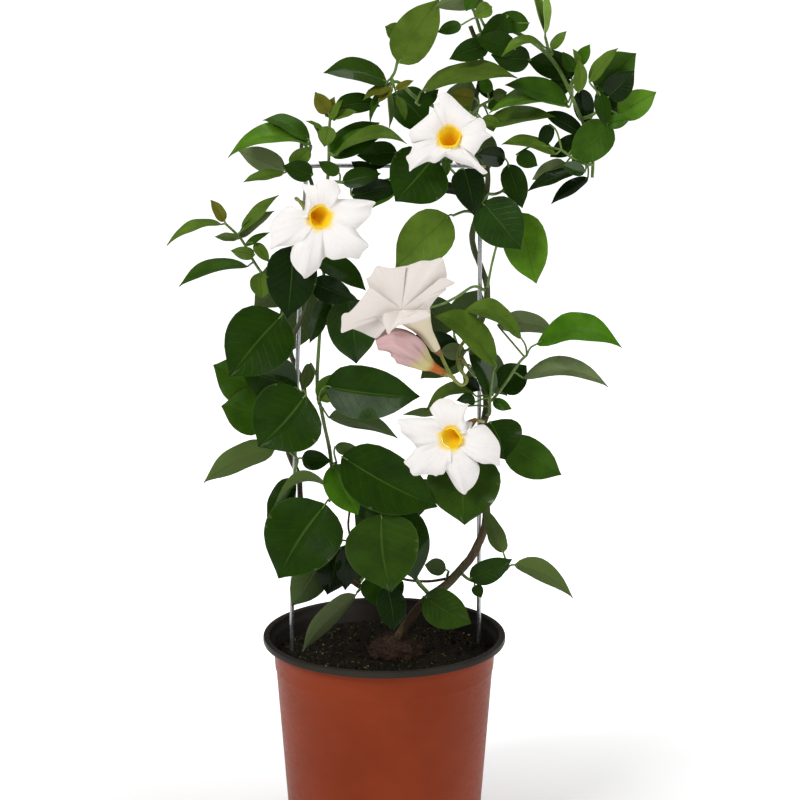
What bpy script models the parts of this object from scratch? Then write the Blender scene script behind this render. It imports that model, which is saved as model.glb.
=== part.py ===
# A climbing mandevilla in a round nursery pot, tied to a wire hoop. Metres, +Z up, the viewer looks along +Y.
# The pot's underside is at z = 0 and its axis is the Z axis.
# Leaves and flowers are placed by where they are seen from the front: each point is given as millimetres across
# and up on the upright plane through the pot's axis, and by its depth, which is negative towards the viewer.
import bpy
import bmesh
from math import acos, cos, pi, radians, sin
from mathutils import Vector

MM = 0.001
EYE = Vector((11.0, -1906.0, 776.0))
GAP = 0.35
WORLD_UP = Vector((0, 0, 1))

# Pot and soil
RIM_R = 85.0
RIM_Z = 150.0
POT_STEPS = 36
SOIL_Z = 136.0
DRAIN_R = 4.5
DRAIN_RING = 50.0
DRAINS = 5
WIRE_R = 1.5
LEG_BOTTOM = 92.0

# Leaves
BLADE = 0.9
PETIOLE_R = 0.8
SHOOT_R = 1.2
CLEAR_BASE = 2.0
SLIVER = 0.000002
NUDGE = 0.00015
LEAF_SECTIONS = ((0.03, 0.40), (0.38, 1.00), (0.78, 0.50))
PETAL_SECTIONS = ((0.10, 0.45), (0.40, 0.80), (0.75, 1.00), (0.93, 0.62))
NATURAL_RATIO = 0.50


def seen(x, z, y=0.0):
    """A point at depth y that the viewer sees at (x, z) on the upright plane through the pot's axis."""
    ray = Vector((x, 0.0, z)) - EYE
    return EYE + ray * ((y - EYE.y) / ray.y)


# Colours as (red, green, blue, roughness, metallic)
LOOKS = {
    "pot": (0.24, 0.042, 0.017, 0.45, 0.0),
    "soil": (0.010, 0.008, 0.005, 0.95, 0.0),
    "wire": (0.20, 0.20, 0.20, 0.40, 1.0),
    "bark": (0.075, 0.038, 0.015, 0.80, 0.0),
    "green_stem": (0.060, 0.110, 0.016, 0.55, 0.0),
    "leaf": (0.016, 0.046, 0.006, 0.35, 0.0),
    "petal": (0.90, 0.85, 0.81, 0.60, 0.0),
    "spent_petal": (0.56, 0.38, 0.36, 0.70, 0.0),
    "calyx": (0.30, 0.26, 0.03, 0.60, 0.0),
}

# The wire hoop, as seen: across, up, depth. Its two legs lean in a little and its top is a straight bar.
HOOP = [(-65.9, 30, 6), (-64.7, 170, 6), (-59.2, 350, 7), (-53.3, 462, 8), (-52.2, 472, 8), (-50.2, 478.2, 8.1),
        (-45.5, 481, 8.5), (5, 481, 11.9), (58.5, 481, 15.5), (63.2, 478.6, 15.9), (65.1, 472, 16), (65.3, 462, 16),
        (65.6, 300, 18), (67.0, 30, 20)]
# The line that the vines twine about: the legs of the hoop, carried on above its top bar.
TWINE_R = 5.4
GUIDE = [(-65.9, 30, 6), (-64.7, 170, 6), (-59.2, 350, 7), (-52.4, 478, 8), (-47.5, 520, 9), (-38, 558, 9),
        (-24, 588, 10), (-6, 606, 10), (12, 611, 11), (30, 605, 12), (46, 588, 13), (57, 562, 14), (63, 526, 15),
        (65.2, 480, 16), (65.6, 300, 18), (67.0, 30, 20)]

# Vines: parent, radius at the start and at the end, and the path as seen.
# A twining stretch is written as ("twine", across, depth, from, to, turn at the start in degrees, millimetres a turn).
VINES = {
    "main_vine": (None, 3.3, 1.5, "bark", [
        (9, 146, -6), (17, 159, -8), (26, 171, -6), (35, 179, -2), (44, 186, 4), (53, 196, 9), (61, 206, 13),
        ("twine", 66.4, 19.0, 217, 540, -95, 78), (66, 552, 8), (58, 575, 5)]),
    "left_vine": ("main_vine", 2.1, 1.3, "bark", [
        (18, 160, -8), (8, 170, 8), (-12, 181, 14), (-38, 202, 16), (-56, 235, 12),
        ("twine", -62.5, 6.5, 262, 500, 60, 70)]),
    "inner_vine": ("main_vine", 1.6, 1.1, "green_stem", [
        (26, 171, -6), (21, 192, -2), (13, 216, 2), (4, 243, -2), (-12, 256, -4), (-33, 262, -2), (-38, 285, -3),
        (-43, 310, -4), (-46, 330, -4), (-44, 365, -3), (-42, 395, -2), (-39, 430, 0), (-38, 470, 0)]),
    "low_cross_vine": ("main_vine", 1.1, 0.8, "bark", [
        (52, 194, 9), (44, 190, 14), (30, 188, 20), (12, 190, 24), (-10, 200, 26), (-24, 222, 22), (-24, 240, 18)]),
    "front_tendril": ("main_vine", 1.1, 0.8, "green_stem", [
        (65, 400, 14), (61, 398, 5), (50, 391, -6), (40, 386, -14), (30, 383, -20)]),
    "right_tendril": ("main_vine", 1.0, 0.8, "green_stem", [
        (67, 396, 14), (71, 399, 9), (73, 411, 6), (76, 424, 0), (79, 434, -4), (80, 448, -6)]),
    "top_vine": ("main_vine", 1.5, 1.0, "green_stem", [
        (62, 500, 14), (48, 510, 4), (36, 520, 1), (22, 527, 0), (9, 538, 1), (-2, 532, 1), (-18, 524, 2),
        (-34, 512, 1)]),
    "hanging_vine": ("main_vine", 1.6, 1.1, "green_stem", [
        (60, 570, 8), (78, 574, 8), (94, 568, 7), (110, 556, 6), (121, 540, 5), (129, 522, 4), (137, 503, 2),
        (141, 488, 0), (141, 473, -2)]),
}

# Leaf sprays: parent vine, the side shoot's path as seen, and its leaves. A leaf is its base and its tip (across, up),
# its width as seen, the depth of its base, the change of depth to its tip, "f" where the upper face is seen or "u" where
# the underside is, how far its middle rides above the straight line, and its tone.
SPRAYS = {
    "left_tip_spray": ("left_vine", [
        (-62, 392, 0), (-63, 394, -3), (-72, 398, -6), (-82, 406, -8), (-90, 418, -10), (-97, 431, -11),
        (-107, 441, -12)], [
        (-110, 441, -148, 428, 7, -12, -10, "f", 4, "light"), (-93, 412, -140, 400, 10, -9, -14, "f", 4, "mid"),
        (-108, 443, -117, 458, 8, -12, -3, "f", 0, "bronze"), (-96, 437, -72, 462, 8, -11, 6, "f", 0, "olive"),
        (-98, 432, -75, 451, 8, -7, 8, "u", 0, "olive"), (-99, 431, -115, 433, 6, -14, -5, "u", 0, "olive"),
        (-88, 420, -104, 423, 9, -13, -8, "f", 0, "olive"), (-94, 426, -78, 436, 5, -14, 3, "f", 0, "mid"),
        (-88, 428, -78, 415, 8, -15, -3, "f", 0, "light"), (-84, 410, -83, 389, 15, -10, -3, "f", 0, "olive")]),
    "left_large_spray": ("left_vine", [(-58, 436, -4), (-60, 430, -10), (-62, 410, -13), (-66, 384, -15)], [
        (-62, 426, -66, 376, 34, -22, -12, "f", 0, "deep"), (-70, 378, -106, 335, 46, -20, -18, "f", 0, "dark")]),
    "left_middle_spray": ("inner_vine", [(-41, 410, -2), (-38, 402, -7), (-30, 394, -8)], [
        (-44, 416, -12, 396, 16, -4, -8, "f", 2, "dark"), (-49, 401, -20, 389, 18, -13, -5, "f", 0, "deep"),
        (-25, 390, -19, 344, 34, -9, -6, "f", 0, "gloss"), (-40, 392, -50, 358, 12, -10, 0, "f", 0, "dark")]),
    "left_low_spray": ("left_vine", [(-60, 300, 0), (-58, 308, -8), (-57, 320, -14), (-60, 328, -14)], [
        (-54, 322, -87, 285, 50, -28, -10, "f", 0, "dark"), (-60, 327, -98, 338, 32, -17, -6, "f", 0, "gloss"),
        (-82, 327, -117, 343, 34, -8, -6, "f", 0, "mid"), (-80, 306, -112, 314, 32, -14, -6, "f", 0, "mid")]),
    "left_spear_spray": ("left_vine", [(-62, 283, 0), (-67, 284, -5), (-74, 284, -7)], [
        (-74, 284, -126, 261, 18, -8, -14, "u", 2, "olive"), (-71, 285, -86, 289, 7, -9, -6, "f", 0, "bright"),
        (-66, 285, -56, 288, 6, -8, -3, "f", 0, "mid")]),
    "inner_front_spray": ("inner_vine", [(-44, 318, -4), (-45, 316, -9), (-42, 312, -12)], [
        (-40, 328, 24, 321, 36, -14, -20, "f", 0, "dark"), (-46, 320, -24, 335, 17, -8, -2, "f", 0, "light"),
        (-38, 306, 10, 293, 13, -12, -10, "u", 2, "dark"), (-50, 344, -56, 325, 9, -3, 3, "u", 0, "olive")]),
    "knuckle_spray": ("left_vine", [(-62, 272, 0), (-60, 276, -5), (-62, 268, -8)], [
        (-57, 277, -37, 275, 14, -8, -6, "f", 0, "dark"), (-63, 262, -82, 235, 15, -9, -8, "f", 0, "dark")]),
    "heart_spray": ("inner_vine", [(-36, 262, -2), (-37, 252, -8), (-38, 246, -12)], [
        (-41, 244, -74, 190, 53, -22, -14, "f", 0, "dark"), (-38, 255, -80, 236, 7, -17, -8, "u", 15, "olive")]),
    "bright_leaf_spray": ("inner_vine", [(-34, 266, -2), (-35, 270, -8), (-33, 274, -12)], [
        (-36, 272, -18, 236, 23, -14, -16, "f", 0, "bright"), (-34, 285, -17, 283, 9, -12, -4, "u", 0, "olive")]),
    "wide_leaf_spray": ("inner_vine", [(-12, 256, -4), (-18, 266, -12), (-28, 276, -16)], [
        (-29, 278, 37, 242, 42, -18, -12, "f", 0, "dark"), (-5, 250, -20, 228, 17, -20, -6, "f", 0, "gloss")]),
    "round_leaf_spray": ("inner_vine", [(4, 243, -2), (4, 242, -10), (3, 239, -18)], [
        (-2, 237, 5, 180, 50, -28, -16, "f", 0, "round"), (7, 243, 22, 188, 32, -14, -6, "f", 0, "gloss")]),
    "low_left_spray": ("left_vine", [(-38, 202, 16), (-38, 206, 8), (-36, 210, 4)], [
        (-43, 207, -65, 170, 25, -3, -8, "u", 0, "dark"), (-33, 212, -40, 178, 24, -4, -6, "f", 0, "deep"),
        (-24, 216, -27, 181, 16, -12, -4, "f", 0, "deep")]),
    "pot_leaf_spray": ("left_vine", [(-2, 176, 12), (-6, 182, 4), (-14, 184, -4), (-19, 180, -10)], [
        (-20, 178, -59, 138, 14, -14, -16, "u", 0, "grey"), (0, 194, 0, 167, 30, -10, -8, "f", 0, "dark"),
        (2, 184, 7, 151, 20, -20, -8, "f", 0, "deep")]),
    "rim_leaf_spray": ("main_vine", [(26, 171, -6), (27, 174, -14)], [
        (28, 177, 61, 157, 26, -16, -10, "f", 0, "mid")]),
    "low_twig_spray": ("low_cross_vine", [(40, 189, 16), (44, 192, 10), (45, 195, 6)], [
        (45, 196, 28, 200, 12, 6, -4, "u", 0, "dark")]),
    "right_low_spray": ("main_vine", [(54, 196, 9), (60, 189, 1), (70, 187, -3), (80, 193, -4), (86, 197, -5)], [
        (60, 190, 89, 204, 17, -4, -8, "f", 0, "dark"), (91, 200, 133, 177, 14, -7, -12, "u", 5, "olive"),
        (83, 209, 70, 243, 12, -5, 10, "u", -3, "olive"), (63, 185, 68, 176, 8, -4, -4, "f", 0, "dark")]),
    "right_heart_spray": ("main_vine", [(70, 291, 14), (71, 290, 6), (69, 288, -4), (63, 285, -11)], [
        (58, 280, 56, 229, 50, -14, -14, "f", 0, "dark"), (73, 303, 84, 276, 34, -4, -8, "f", 0, "dark"),
        (84, 288, 123, 265, 27, 3, -6, "f", 0, "mid")]),
    "right_fan_spray": ("main_vine", [(71, 314, 14), (75, 319, 8), (84, 331, 2), (93, 345, 0), (98, 350, -1)], [
        (105, 358, 163, 357, 20, -4, -12, "f", 10, "vivid"), (96, 334, 154, 330, 14, 2, -14, "f", 8, "grey"),
        (78, 371, 118, 366, 15, 12, 4, "u", 4, "grey"), (94, 362, 54, 381, 14, 0, -8, "f", 8, "light"),
        (80, 325, 98, 343, 22, 12, 8, "f", 0, "dark"), (75, 318, 88, 312, 8, 4, -6, "f", 0, "bright")]),
    "right_arch_spray": ("main_vine", [(70, 306, 12), (73, 309, 5), (73, 320, -3), (75, 339, -8)], [
        (77, 343, 36, 378, 19, -12, -10, "f", 8, "light"), (75, 322, 59, 351, 14, -1, -2, "f", 3, "gloss"),
        (64, 321, 28, 311, 9, -2, -10, "f", 9, "olive"), (63, 317, 50, 318, 8, -6, -6, "f", 2, "dark"),
        (38, 308, 13, 309, 6, -4, -5, "u", 0, "olive")]),
    "flower_back_spray": ("main_vine", [(62, 356, 14), (58, 354, 6), (54, 353, 2)], [
        (53, 352, 6, 349, 27, 5, -4, "f", 2, "deep"), (56, 352, 38, 353, 12, 0, -6, "u", 0, "grey"),
        (55, 333, 66, 325, 10, 4, 0, "f", 0, "deep")]),
    "right_hanging_leaf_spray": ("main_vine", [(71, 462, 12), (76, 462, 5), (82, 466, 2), (84, 478, 1)], [
        (67, 456, 93, 424, 33, -6, -14, "f", 0, "gloss"), (91, 449, 104, 400, 30, 3, -10, "f", 0, "green"),
        (84, 482, 94, 452, 17, -3, -4, "f", 0, "dark"), (82, 486, 63, 489, 14, -4, -8, "f", 0, "deep")]),
    "right_inner_leaf_spray": ("main_vine", [(61, 462, 14), (55, 468, 2), (48, 476, -4), (40, 484, -10)], [
        (34, 487, 8, 457, 42, -18, -12, "f", 0, "dark"), (54, 479, 62, 446, 22, -4, -6, "f", 4, "deep"),
        (42, 486, 42, 473, 6, -12, -3, "f", 0, "mid"), (56, 463, 32, 467, 8, 2, -2, "f", 0, "deep")]),
    "pale_leaf_spray": ("main_vine", [(60, 450, 14), (55, 450, 4), (47, 447, -2)], [
        (44, 447, 8, 411, 34, -4, -8, "f", 0, "light")]),
    "left_arch_spray": ("left_vine", [(-52, 484, 4), (-50, 490, -6), (-52, 484, -14), (-60, 478, -16)], [
        (-49, 495, -105, 489, 13, -10, -14, "f", 9, "green"), (-50, 498, -81, 513, 11, -8, 4, "f", 4, "mid"),
        (-67, 478, -98, 492, 16, -14, 8, "u", 0, "grey"), (-68, 476, -95, 471, 7, -17, -8, "f", 0, "olive"),
        (-62, 480, -50, 494, 12, -16, -4, "f", 0, "light"), (-48, 475, -68, 481, 14, -20, -4, "f", 0, "dark")]),
    "left_crown_spray": ("inner_vine", [(-38, 474, 0), (-37, 486, -5), (-37, 500, -6), (-36, 514, -7)], [
        (-36, 515, -46, 531, 11, -8, -3, "f", 0, "bronze"), (-37, 508, -40, 494, 12, -9, -5, "f", 0, "olive"),
        (-33, 520, -2, 522, 14, -6, 3, "f", 2, "dark"), (-35, 488, 2, 506, 15, -9, -6, "f", 0, "bright"),
        (-33, 488, 15, 498, 9, -16, -10, "f", 8, "light"), (-40, 505, -52, 512, 3, -8, -2, "f", 0, "light")]),
    "bar_leaf_spray": ("inner_vine", [(-38, 470, 0), (-30, 470, -6), (-14, 468, -8), (4, 472, -7)], [
        (9, 490, -18, 488, 16, -4, -6, "f", 0, "dark"), (-28, 470, -2, 476, 13, -12, -3, "f", 0, "dark"),
        (-22, 461, 11, 468, 17, -9, 0, "f", 0, "deep"), (8, 463, -8, 453, 5, -9, -5, "f", 0, "bright")]),
    "upright_leaf_spray": ("top_vine", [(8, 537, 1), (5, 540, -5), (8, 546, -8), (11, 562, -6)], [
        (9, 549, 37, 593, 28, -9, -4, "f", 0, "matte"), (2, 538, -40, 545, 16, -8, -8, "f", 3, "round"),
        (13, 570, 1, 575, 12, -5, 0, "f", 0, "olive"), (1, 536, -14, 526, 5, -10, -4, "f", 0, "light"),
        (2, 536, 5, 507, 4, -9, -4, "f", 0, "light"), (0, 534, -10, 511, 5, -8, -4, "f", 0, "mid")]),
    "long_leaf_spray": ("top_vine", [(24, 526, 0), (22, 524, -6), (24, 529, -9)], [
        (26, 532, 89, 543, 14, -10, -12, "f", 4, "mid"), (24, 522, 37, 533, 9, -8, 4, "f", 0, "dark")]),
    "top_knot_spray": ("top_vine", [(52, 508, 6), (58, 514, -2), (64, 521, -4), (71, 525, -4)], [
        (61, 527, 45, 530, 12, -6, -3, "f", 0, "bronze"), (58, 518, 49, 529, 9, -3, 4, "f", 0, "olive"),
        (70, 530, 68, 542, 9, -4, 0, "f", 0, "bright"), (72, 526, 83, 531, 9, -5, -3, "u", 0, "olive"),
        (70, 520, 83, 526, 8, -2, 3, "f", 0, "mid"), (69, 509, 115, 516, 12, -4, -8, "f", 2, "light")]),
    "top_leaf_spray": ("hanging_vine", [(70, 573, 8), (70, 570, 0), (66, 578, -6), (62, 586, -8)], [
        (66, 592, 34, 588, 15, -9, -3, "u", 3, "grey"), (60, 598, 55, 585, 9, -11, -3, "f", 0, "mid"),
        (72, 588, 61, 582, 11, -12, -4, "f", 0, "light"), (83, 582, 64, 561, 16, -5, -6, "f", 0, "dark"),
        (97, 577, 70, 573, 15, -1, 0, "f", 2, "mid"), (70, 562, 44, 553, 15, -7, -5, "f", 2, "dark"),
        (88, 560, 62, 567, 16, -9, -4, "f", 0, "dark"), (98, 553, 72, 556, 18, -6, -6, "f", 0, "dark"),
        (52, 576, 36, 571, 9, -3, 2, "f", 0, "mid")]),
    "new_shoot_spray": ("hanging_vine", [(110, 556, 6), (110, 560, 0), (108, 568, -3)], [
        (108, 570, 95, 611, 6, -4, 2, "f", 2, "young"), (108, 570, 107, 602, 5, -5, -2, "f", 0, "young"),
        (113, 556, 79, 556, 6, -8, -14, "f", 9, "light"), (112, 560, 122, 572, 7, -3, -2, "f", 0, "light")]),
    "hanging_top_spray": ("hanging_vine", [(124, 534, 5), (126, 536, -2), (130, 546, -4)], [
        (130, 549, 138, 563, 9, -4, -2, "f", 0, "bright"), (131, 531, 131, 553, 9, -9, -4, "f", 0, "light"),
        (124, 524, 82, 537, 15, -5, -8, "f", 2, "mid"), (125, 521, 71, 519, 11, -8, -12, "f", 6, "green"),
        (126, 540, 112, 560, 14, 14, 4, "f", 0, "dark")]),
    "hanging_side_spray": ("hanging_vine", [(134, 512, 3), (141, 516, -2), (146, 522, -3), (143, 532, -3)], [
        (142, 534, 169, 557, 26, -2, -2, "f", 0, "mid"), (138, 538, 156, 561, 9, -8, -4, "f", 0, "olive"),
        (158, 516, 183, 531, 19, -3, -5, "f", 0, "green"), (150, 527, 168, 545, 18, -6, -5, "f", 0, "deep"),
        (145, 530, 150, 508, 11, -9, -5, "f", 0, "dark"), (152, 510, 127, 482, 25, -6, -8, "f", 0, "mid"),
        (150, 510, 166, 513, 10, -9, -6, "f", 0, "bright")]),
    "hanging_low_spray": ("hanging_vine", [(141, 480, -1), (137, 482, -9), (128, 486, -12), (120, 492, -12)], [
        (134, 503, 107, 518, 11, -5, -2, "f", 0, "deep"), (112, 509, 106, 493, 10, -8, -3, "f", 0, "deep"),
        (116, 489, 80, 497, 9, -14, -6, "f", 3, "light"), (90, 489, 104, 481, 12, -16, -2, "f", 0, "dark"),
        (123, 483, 100, 472, 12, -9, -4, "u", 0, "grey"), (136, 477, 119, 482, 9, -14, -6, "f", 0, "gloss"),
        (130, 478, 97, 465, 9, -15, -8, "f", 0, "deep"), (138, 473, 113, 456, 9, -11, -7, "f", 0, "deep")]),
    "summit_spray": ("hanging_vine", [(66, 572, 8), (58, 590, 8), (44, 608, 7), (26, 622, 6), (8, 632, 6)], [
        (46, 610, 66, 632, 22, 2, -8, "f", 0, "mid"), (28, 624, 40, 652, 20, 4, 4, "f", 0, "dark"),
        (10, 634, -18, 648, 18, 2, -10, "f", 3, "green"), (12, 628, -12, 612, 22, 0, -16, "f", 2, "dark"),
        (40, 612, 24, 600, 18, 0, -12, "f", 0, "mid"), (56, 596, 86, 606, 20, 6, 4, "f", 4, "dark"),
        (26, 622, 2, 630, 14, 14, 30, "f", 0, "mid"), (48, 606, 60, 622, 18, 16, 30, "f", 0, "dark")]),
    "back_left_spray": ("left_vine", [(-58, 420, 10), (-60, 416, 22), (-52, 404, 32), (-44, 388, 36)], [
        (-62, 410, -88, 384, 30, 30, 24, "u", 0, "dark"), (-48, 396, -66, 352, 30, 38, 18, "u", 0, "dark"),
        (-40, 388, -14, 368, 28, 40, 22, "u", 0, "mid"), (-50, 414, -26, 440, 28, 32, 22, "u", 0, "dark")]),
    "back_low_spray": ("left_vine", [(-12, 181, 14), (-12, 196, 28), (-8, 214, 38), (2, 232, 42)], [
        (-14, 202, -44, 190, 28, 34, 20, "u", 4, "dark"), (-2, 222, 26, 206, 26, 42, 22, "u", 4, "mid"),
        (2, 236, -22, 258, 28, 44, 14, "u", 0, "dark"), (6, 238, 32, 262, 26, 46, 12, "u", 0, "dark")]),
    "back_right_spray": ("main_vine", [(66, 330, 24), (62, 336, 38), (54, 348, 46), (48, 364, 48)], [
        (60, 342, 84, 322, 28, 48, 20, "u", 4, "dark"), (52, 350, 26, 334, 28, 50, 20, "u", 4, "mid"),
        (47, 368, 24, 392, 26, 50, 10, "u", 0, "dark"), (50, 370, 66, 396, 26, 50, 12, "u", 0, "dark")]),
    "back_top_spray": ("main_vine", [(66, 512, 22), (58, 508, 34), (44, 508, 40), (30, 504, 42)], [
        (58, 502, 68, 474, 28, 40, 14, "u", 0, "dark"), (40, 502, 28, 468, 28, 44, 14, "u", 0, "dark"),
        (28, 509, 3, 529, 27, 45, 12, "f", 3, "dark"), (46, 512, 58, 540, 26, 42, 12, "u", 0, "dark")]),
}

# Small leaves that fill the gaps of some sprays, written the same way.
SMALL_LEAVES = {
    "hanging_top_spray": [
        (128, 546, 96, 552, 19, 9, 3, "f", 0, "dark"), (128, 545, 120, 558, 9, 3, -2, "f", 0, "mid"),
        (133, 533, 137, 507, 14, 9, 2, "f", 0, "deep"),
        (132, 548, 127, 560, 5, -6, -3, "f", 0, "light"), (126, 538, 104, 529, 13, 10, 3, "f", 0, "dark")],
    "hanging_side_spray": [
        (146, 534, 155, 510, 15, 8, 3, "f", 0, "deep"), (144, 536, 148, 556, 12, 6, 3, "f", 0, "dark"),
        (140, 512, 146, 503, 10, 4, 2, "f", 0, "dark")],
    "hanging_low_spray": [
        (133, 500, 112, 487, 13, 0, 2, "f", 0, "dark"), (138, 482, 130, 496, 9, -6, -2, "f", 0, "dark")],
    "upright_leaf_spray": [
        (4, 533, -12, 529, 5, -14, -4, "f", 0, "bronze"), (8, 533, 20, 539, 5, -14, -3, "f", 0, "bronze"),
        (9, 528, 15, 512, 6, -12, -3, "f", 0, "light"),
        (6, 534, -4, 524, 6, -15, -3, "f", 0, "bronze")],
    "left_crown_spray": [
        (-36, 489, -3, 511, 18, -2, 3, "f", 0, "mid"), (-36, 512, -28, 526, 5, -10, -3, "f", 0, "light"),
        (-34, 514, -18, 518, 6, -11, -4, "f", 0, "light"), (-39, 515, -33, 528, 7, -4, 0, "f", 0, "bronze"),
        (-41, 500, -48, 512, 4, -9, -2, "f", 0, "light")],
    "top_knot_spray": [
        (70, 516, 74, 504, 9, -2, 2, "f", 0, "mid"),
        (74, 528, 62, 536, 8, 2, 2, "f", 0, "dark"), (66, 513, 80, 508, 8, -6, -4, "f", 0, "light")],
    "bar_leaf_spray": [
        (-4, 472, -22, 484, 11, -2, 2, "f", 0, "dark"), (-30, 476, -44, 484, 9, -8, -3, "f", 0, "mid"),
        (-8, 480, 4, 492, 10, 2, 2, "f", 0, "deep")],
}

# Flowers: the throat as seen, the calyx as seen, the throat's and tube's radii, and the petals' tips with their widths
# and how much nearer the viewer they reach than the throat.
FLOWERS = {
    "top_flower": ((44, 501, -38), (50, 486, -14), 7.0, [
        (39, 530, 30, 2), (73, 502, 30, 2), (66, 475, 30, -3), (19, 478, 32, -4), (16, 504, 24, 0)]),
    "left_flower": ((-43, 446, -40), (-50, 448, -16), 6.5, [
        (-43, 473, 30, 2), (-5, 456, 24, 2), (-14, 421, 28, -3), (-53, 404, 26, -4), (-79, 431, 30, 0)]),
    "right_flower": ((46, 291, -40), (60, 302, -16), 6.5, [
        (46, 320, 28, 2), (79, 284, 34, 2), (56, 251, 26, -4), (17, 270, 30, -3), (9, 303, 24, 0)]),
    "cream_flower": ((10, 390, -62), (36, 354, -38), 11.0, [
        (-8, 411, 32, -6), (38, 414, 36, 8), (46, 396, 24, 16), (-4, 362, 26, -2), (-29, 372, 28, -10)]),
}
# Flower stalks: parent vine, radius and path as seen, from the vine to the calyx.
STALKS = {
    "top_flower_stalk": ("main_vine", 1.1, [(66, 476, 8), (64, 481, -4), (58, 485, -12)], [(50, 486, -14)]),
    "left_flower_stalk": ("left_vine", 1.1, [(-56, 456, 4), (-59, 458, -4), (-58, 458, -9)], [(-50, 448, -16)]),
    "right_flower_stalk": ("main_vine", 1.3, [(70, 302, 14), (68, 303, 6), (65, 304, -6)], [(60, 302, -16)]),
    "cream_flower_stalk": ("main_vine", 1.2, [(62, 362, 14), (56, 361, 2), (51, 352, -12), (52, 341, -22),
                                             (57, 333, -28), (53, 329, -33), (46, 336, -36)], [(36, 354, -38)]),
}
SPENT_FLOWER = [(40, 338, -42, 2.0), (33, 342, -44, 3.4), (25, 347, -47, 7.0), (16, 355, -50, 10.5),
                (6, 360, -51, 8.5), (-5, 358, -51, 4.0)]
SPENT_STALK = [(48, 334, -40), (44, 336, -42)]


def collection(name):
    made = bpy.data.collections.new(name)
    bpy.context.scene.collection.children.link(made)
    return made


def make_material(name):
    red, green, blue, rough, metal = LOOKS[name]
    made = bpy.data.materials.new(name)
    made.use_nodes = True
    shader = made.node_tree.nodes["Principled BSDF"]
    shader.inputs["Base Color"].default_value = (red, green, blue, 1.0)
    shader.inputs["Roughness"].default_value = rough
    shader.inputs["Metallic"].default_value = metal
    return made


def object_from(name, mesh, material, home, smooth=False):
    made = bpy.data.objects.new(name, mesh)
    mesh.materials.clear()
    mesh.materials.append(material)
    for face in mesh.polygons:
        face.use_smooth = smooth
    home.objects.link(made)
    return made


def mesh_from(name, points, faces):
    """A mesh in metres from points in millimetres, with its faces outwards."""
    made = bpy.data.meshes.new(name)
    made.from_pydata([tuple(p * MM) for p in points], [], faces)
    work = bmesh.new()
    work.from_mesh(made)
    bmesh.ops.remove_doubles(work, verts=work.verts, dist=1e-6)
    bmesh.ops.recalc_face_normals(work, faces=work.faces)
    bmesh.ops.triangulate(work, faces=work.faces)
    if work.calc_volume(signed=True) < 0:
        bmesh.ops.reverse_faces(work, faces=work.faces)
    work.to_mesh(made)
    work.free()
    return made


def loft(name, rings, tip=None):
    """A closed skin through rings of equal length, capped at the start and at the end, or run to a tip."""
    count = len(rings[0])
    points = [p for ring in rings for p in ring]
    faces = [list(range(count))]
    for r in range(len(rings) - 1):
        for i in range(count):
            j = (i + 1) % count
            faces.append([r * count + i, r * count + j, (r + 1) * count + j, (r + 1) * count + i])
    last = (len(rings) - 1) * count
    if tip is None:
        faces.append([last + i for i in range(count)])
    else:
        points.append(tip)
        faces += [[last + i, last + (i + 1) % count, len(points) - 1] for i in range(count)]
    return mesh_from(name, points, faces)


def ring_around(centre, along, radius, sides, across=None):
    if across is None:
        across = along.orthogonal().normalized()
    other = along.cross(across).normalized()
    return [centre + (across * cos(2 * pi * i / sides) + other * sin(2 * pi * i / sides)) * radius
            for i in range(sides)]


def tube(name, path, start_r, end_r, sides):
    """A tapering rod along a path, closed at both ends, whose rings do not twist."""
    rings = []
    across = None
    for i, point in enumerate(path):
        along = (path[min(i + 1, len(path) - 1)] - path[max(i - 1, 0)]).normalized()
        if across is None:
            across = along.orthogonal().normalized()
        across = (across - along * across.dot(along)).normalized()
        radius = start_r + (end_r - start_r) * i / (len(path) - 1)
        rings.append(ring_around(point, along, radius, sides, across))
    return loft(name, rings)


def merged(name, meshes, material, home):
    """One closed body from several closed skins that cross one another."""
    whole = object_from(name, meshes[0], material, home)
    for mesh in meshes[1:]:
        other = object_from(name + "_piece", mesh, material, cutters)
        other.hide_render = True
        other.display_type = "WIRE"
        join = whole.modifiers.new("union", "BOOLEAN")
        join.operation = "UNION"
        join.object = other
        grown = None
        least = max(volume_of(whole.data), volume_of(mesh)) * 1.002
        for attempt, solver in enumerate(("EXACT", "MANIFOLD", "EXACT", "MANIFOLD", "EXACT", "MANIFOLD")):
            join.solver = solver
            other.location = Vector((0.4, -0.5, 0.7)) * NUDGE * (attempt // 2)
            bpy.context.view_layer.update()
            tried = bpy.data.meshes.new_from_object(whole.evaluated_get(bpy.context.evaluated_depsgraph_get()))
            if cleaned_and_closed(tried, least):
                grown = tried
                break
        whole.modifiers.clear()
        if grown is None:
            print("left out of", name, [round(c / MM) for c in other.data.vertices[0].co])
        else:
            whole.data = grown
        bpy.data.objects.remove(other)
    return whole


def volume_of(mesh):
    work = bmesh.new()
    work.from_mesh(mesh)
    volume = work.calc_volume(signed=True)
    work.free()
    return volume


def cleaned_and_closed(mesh, at_least):
    """Takes out the slivers that a union can leave, and says whether one closed body is left."""
    work = bmesh.new()
    work.from_mesh(mesh)
    bmesh.ops.remove_doubles(work, verts=work.verts, dist=SLIVER)
    bmesh.ops.dissolve_degenerate(work, edges=work.edges, dist=SLIVER)
    work.to_mesh(mesh)
    closed = all(edge.is_manifold for edge in work.edges) and all(vert.is_manifold for vert in work.verts)
    reached = set()
    waiting = list(work.verts)[:1]
    while waiting:
        vert = waiting.pop()
        if vert not in reached:
            reached.add(vert)
            waiting += [edge.other_vert(vert) for edge in vert.link_edges]
    one_body = 0 < len(reached) == len(work.verts)
    volume = work.calc_volume(signed=True)
    work.free()
    return closed and one_body and volume > at_least


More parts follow.
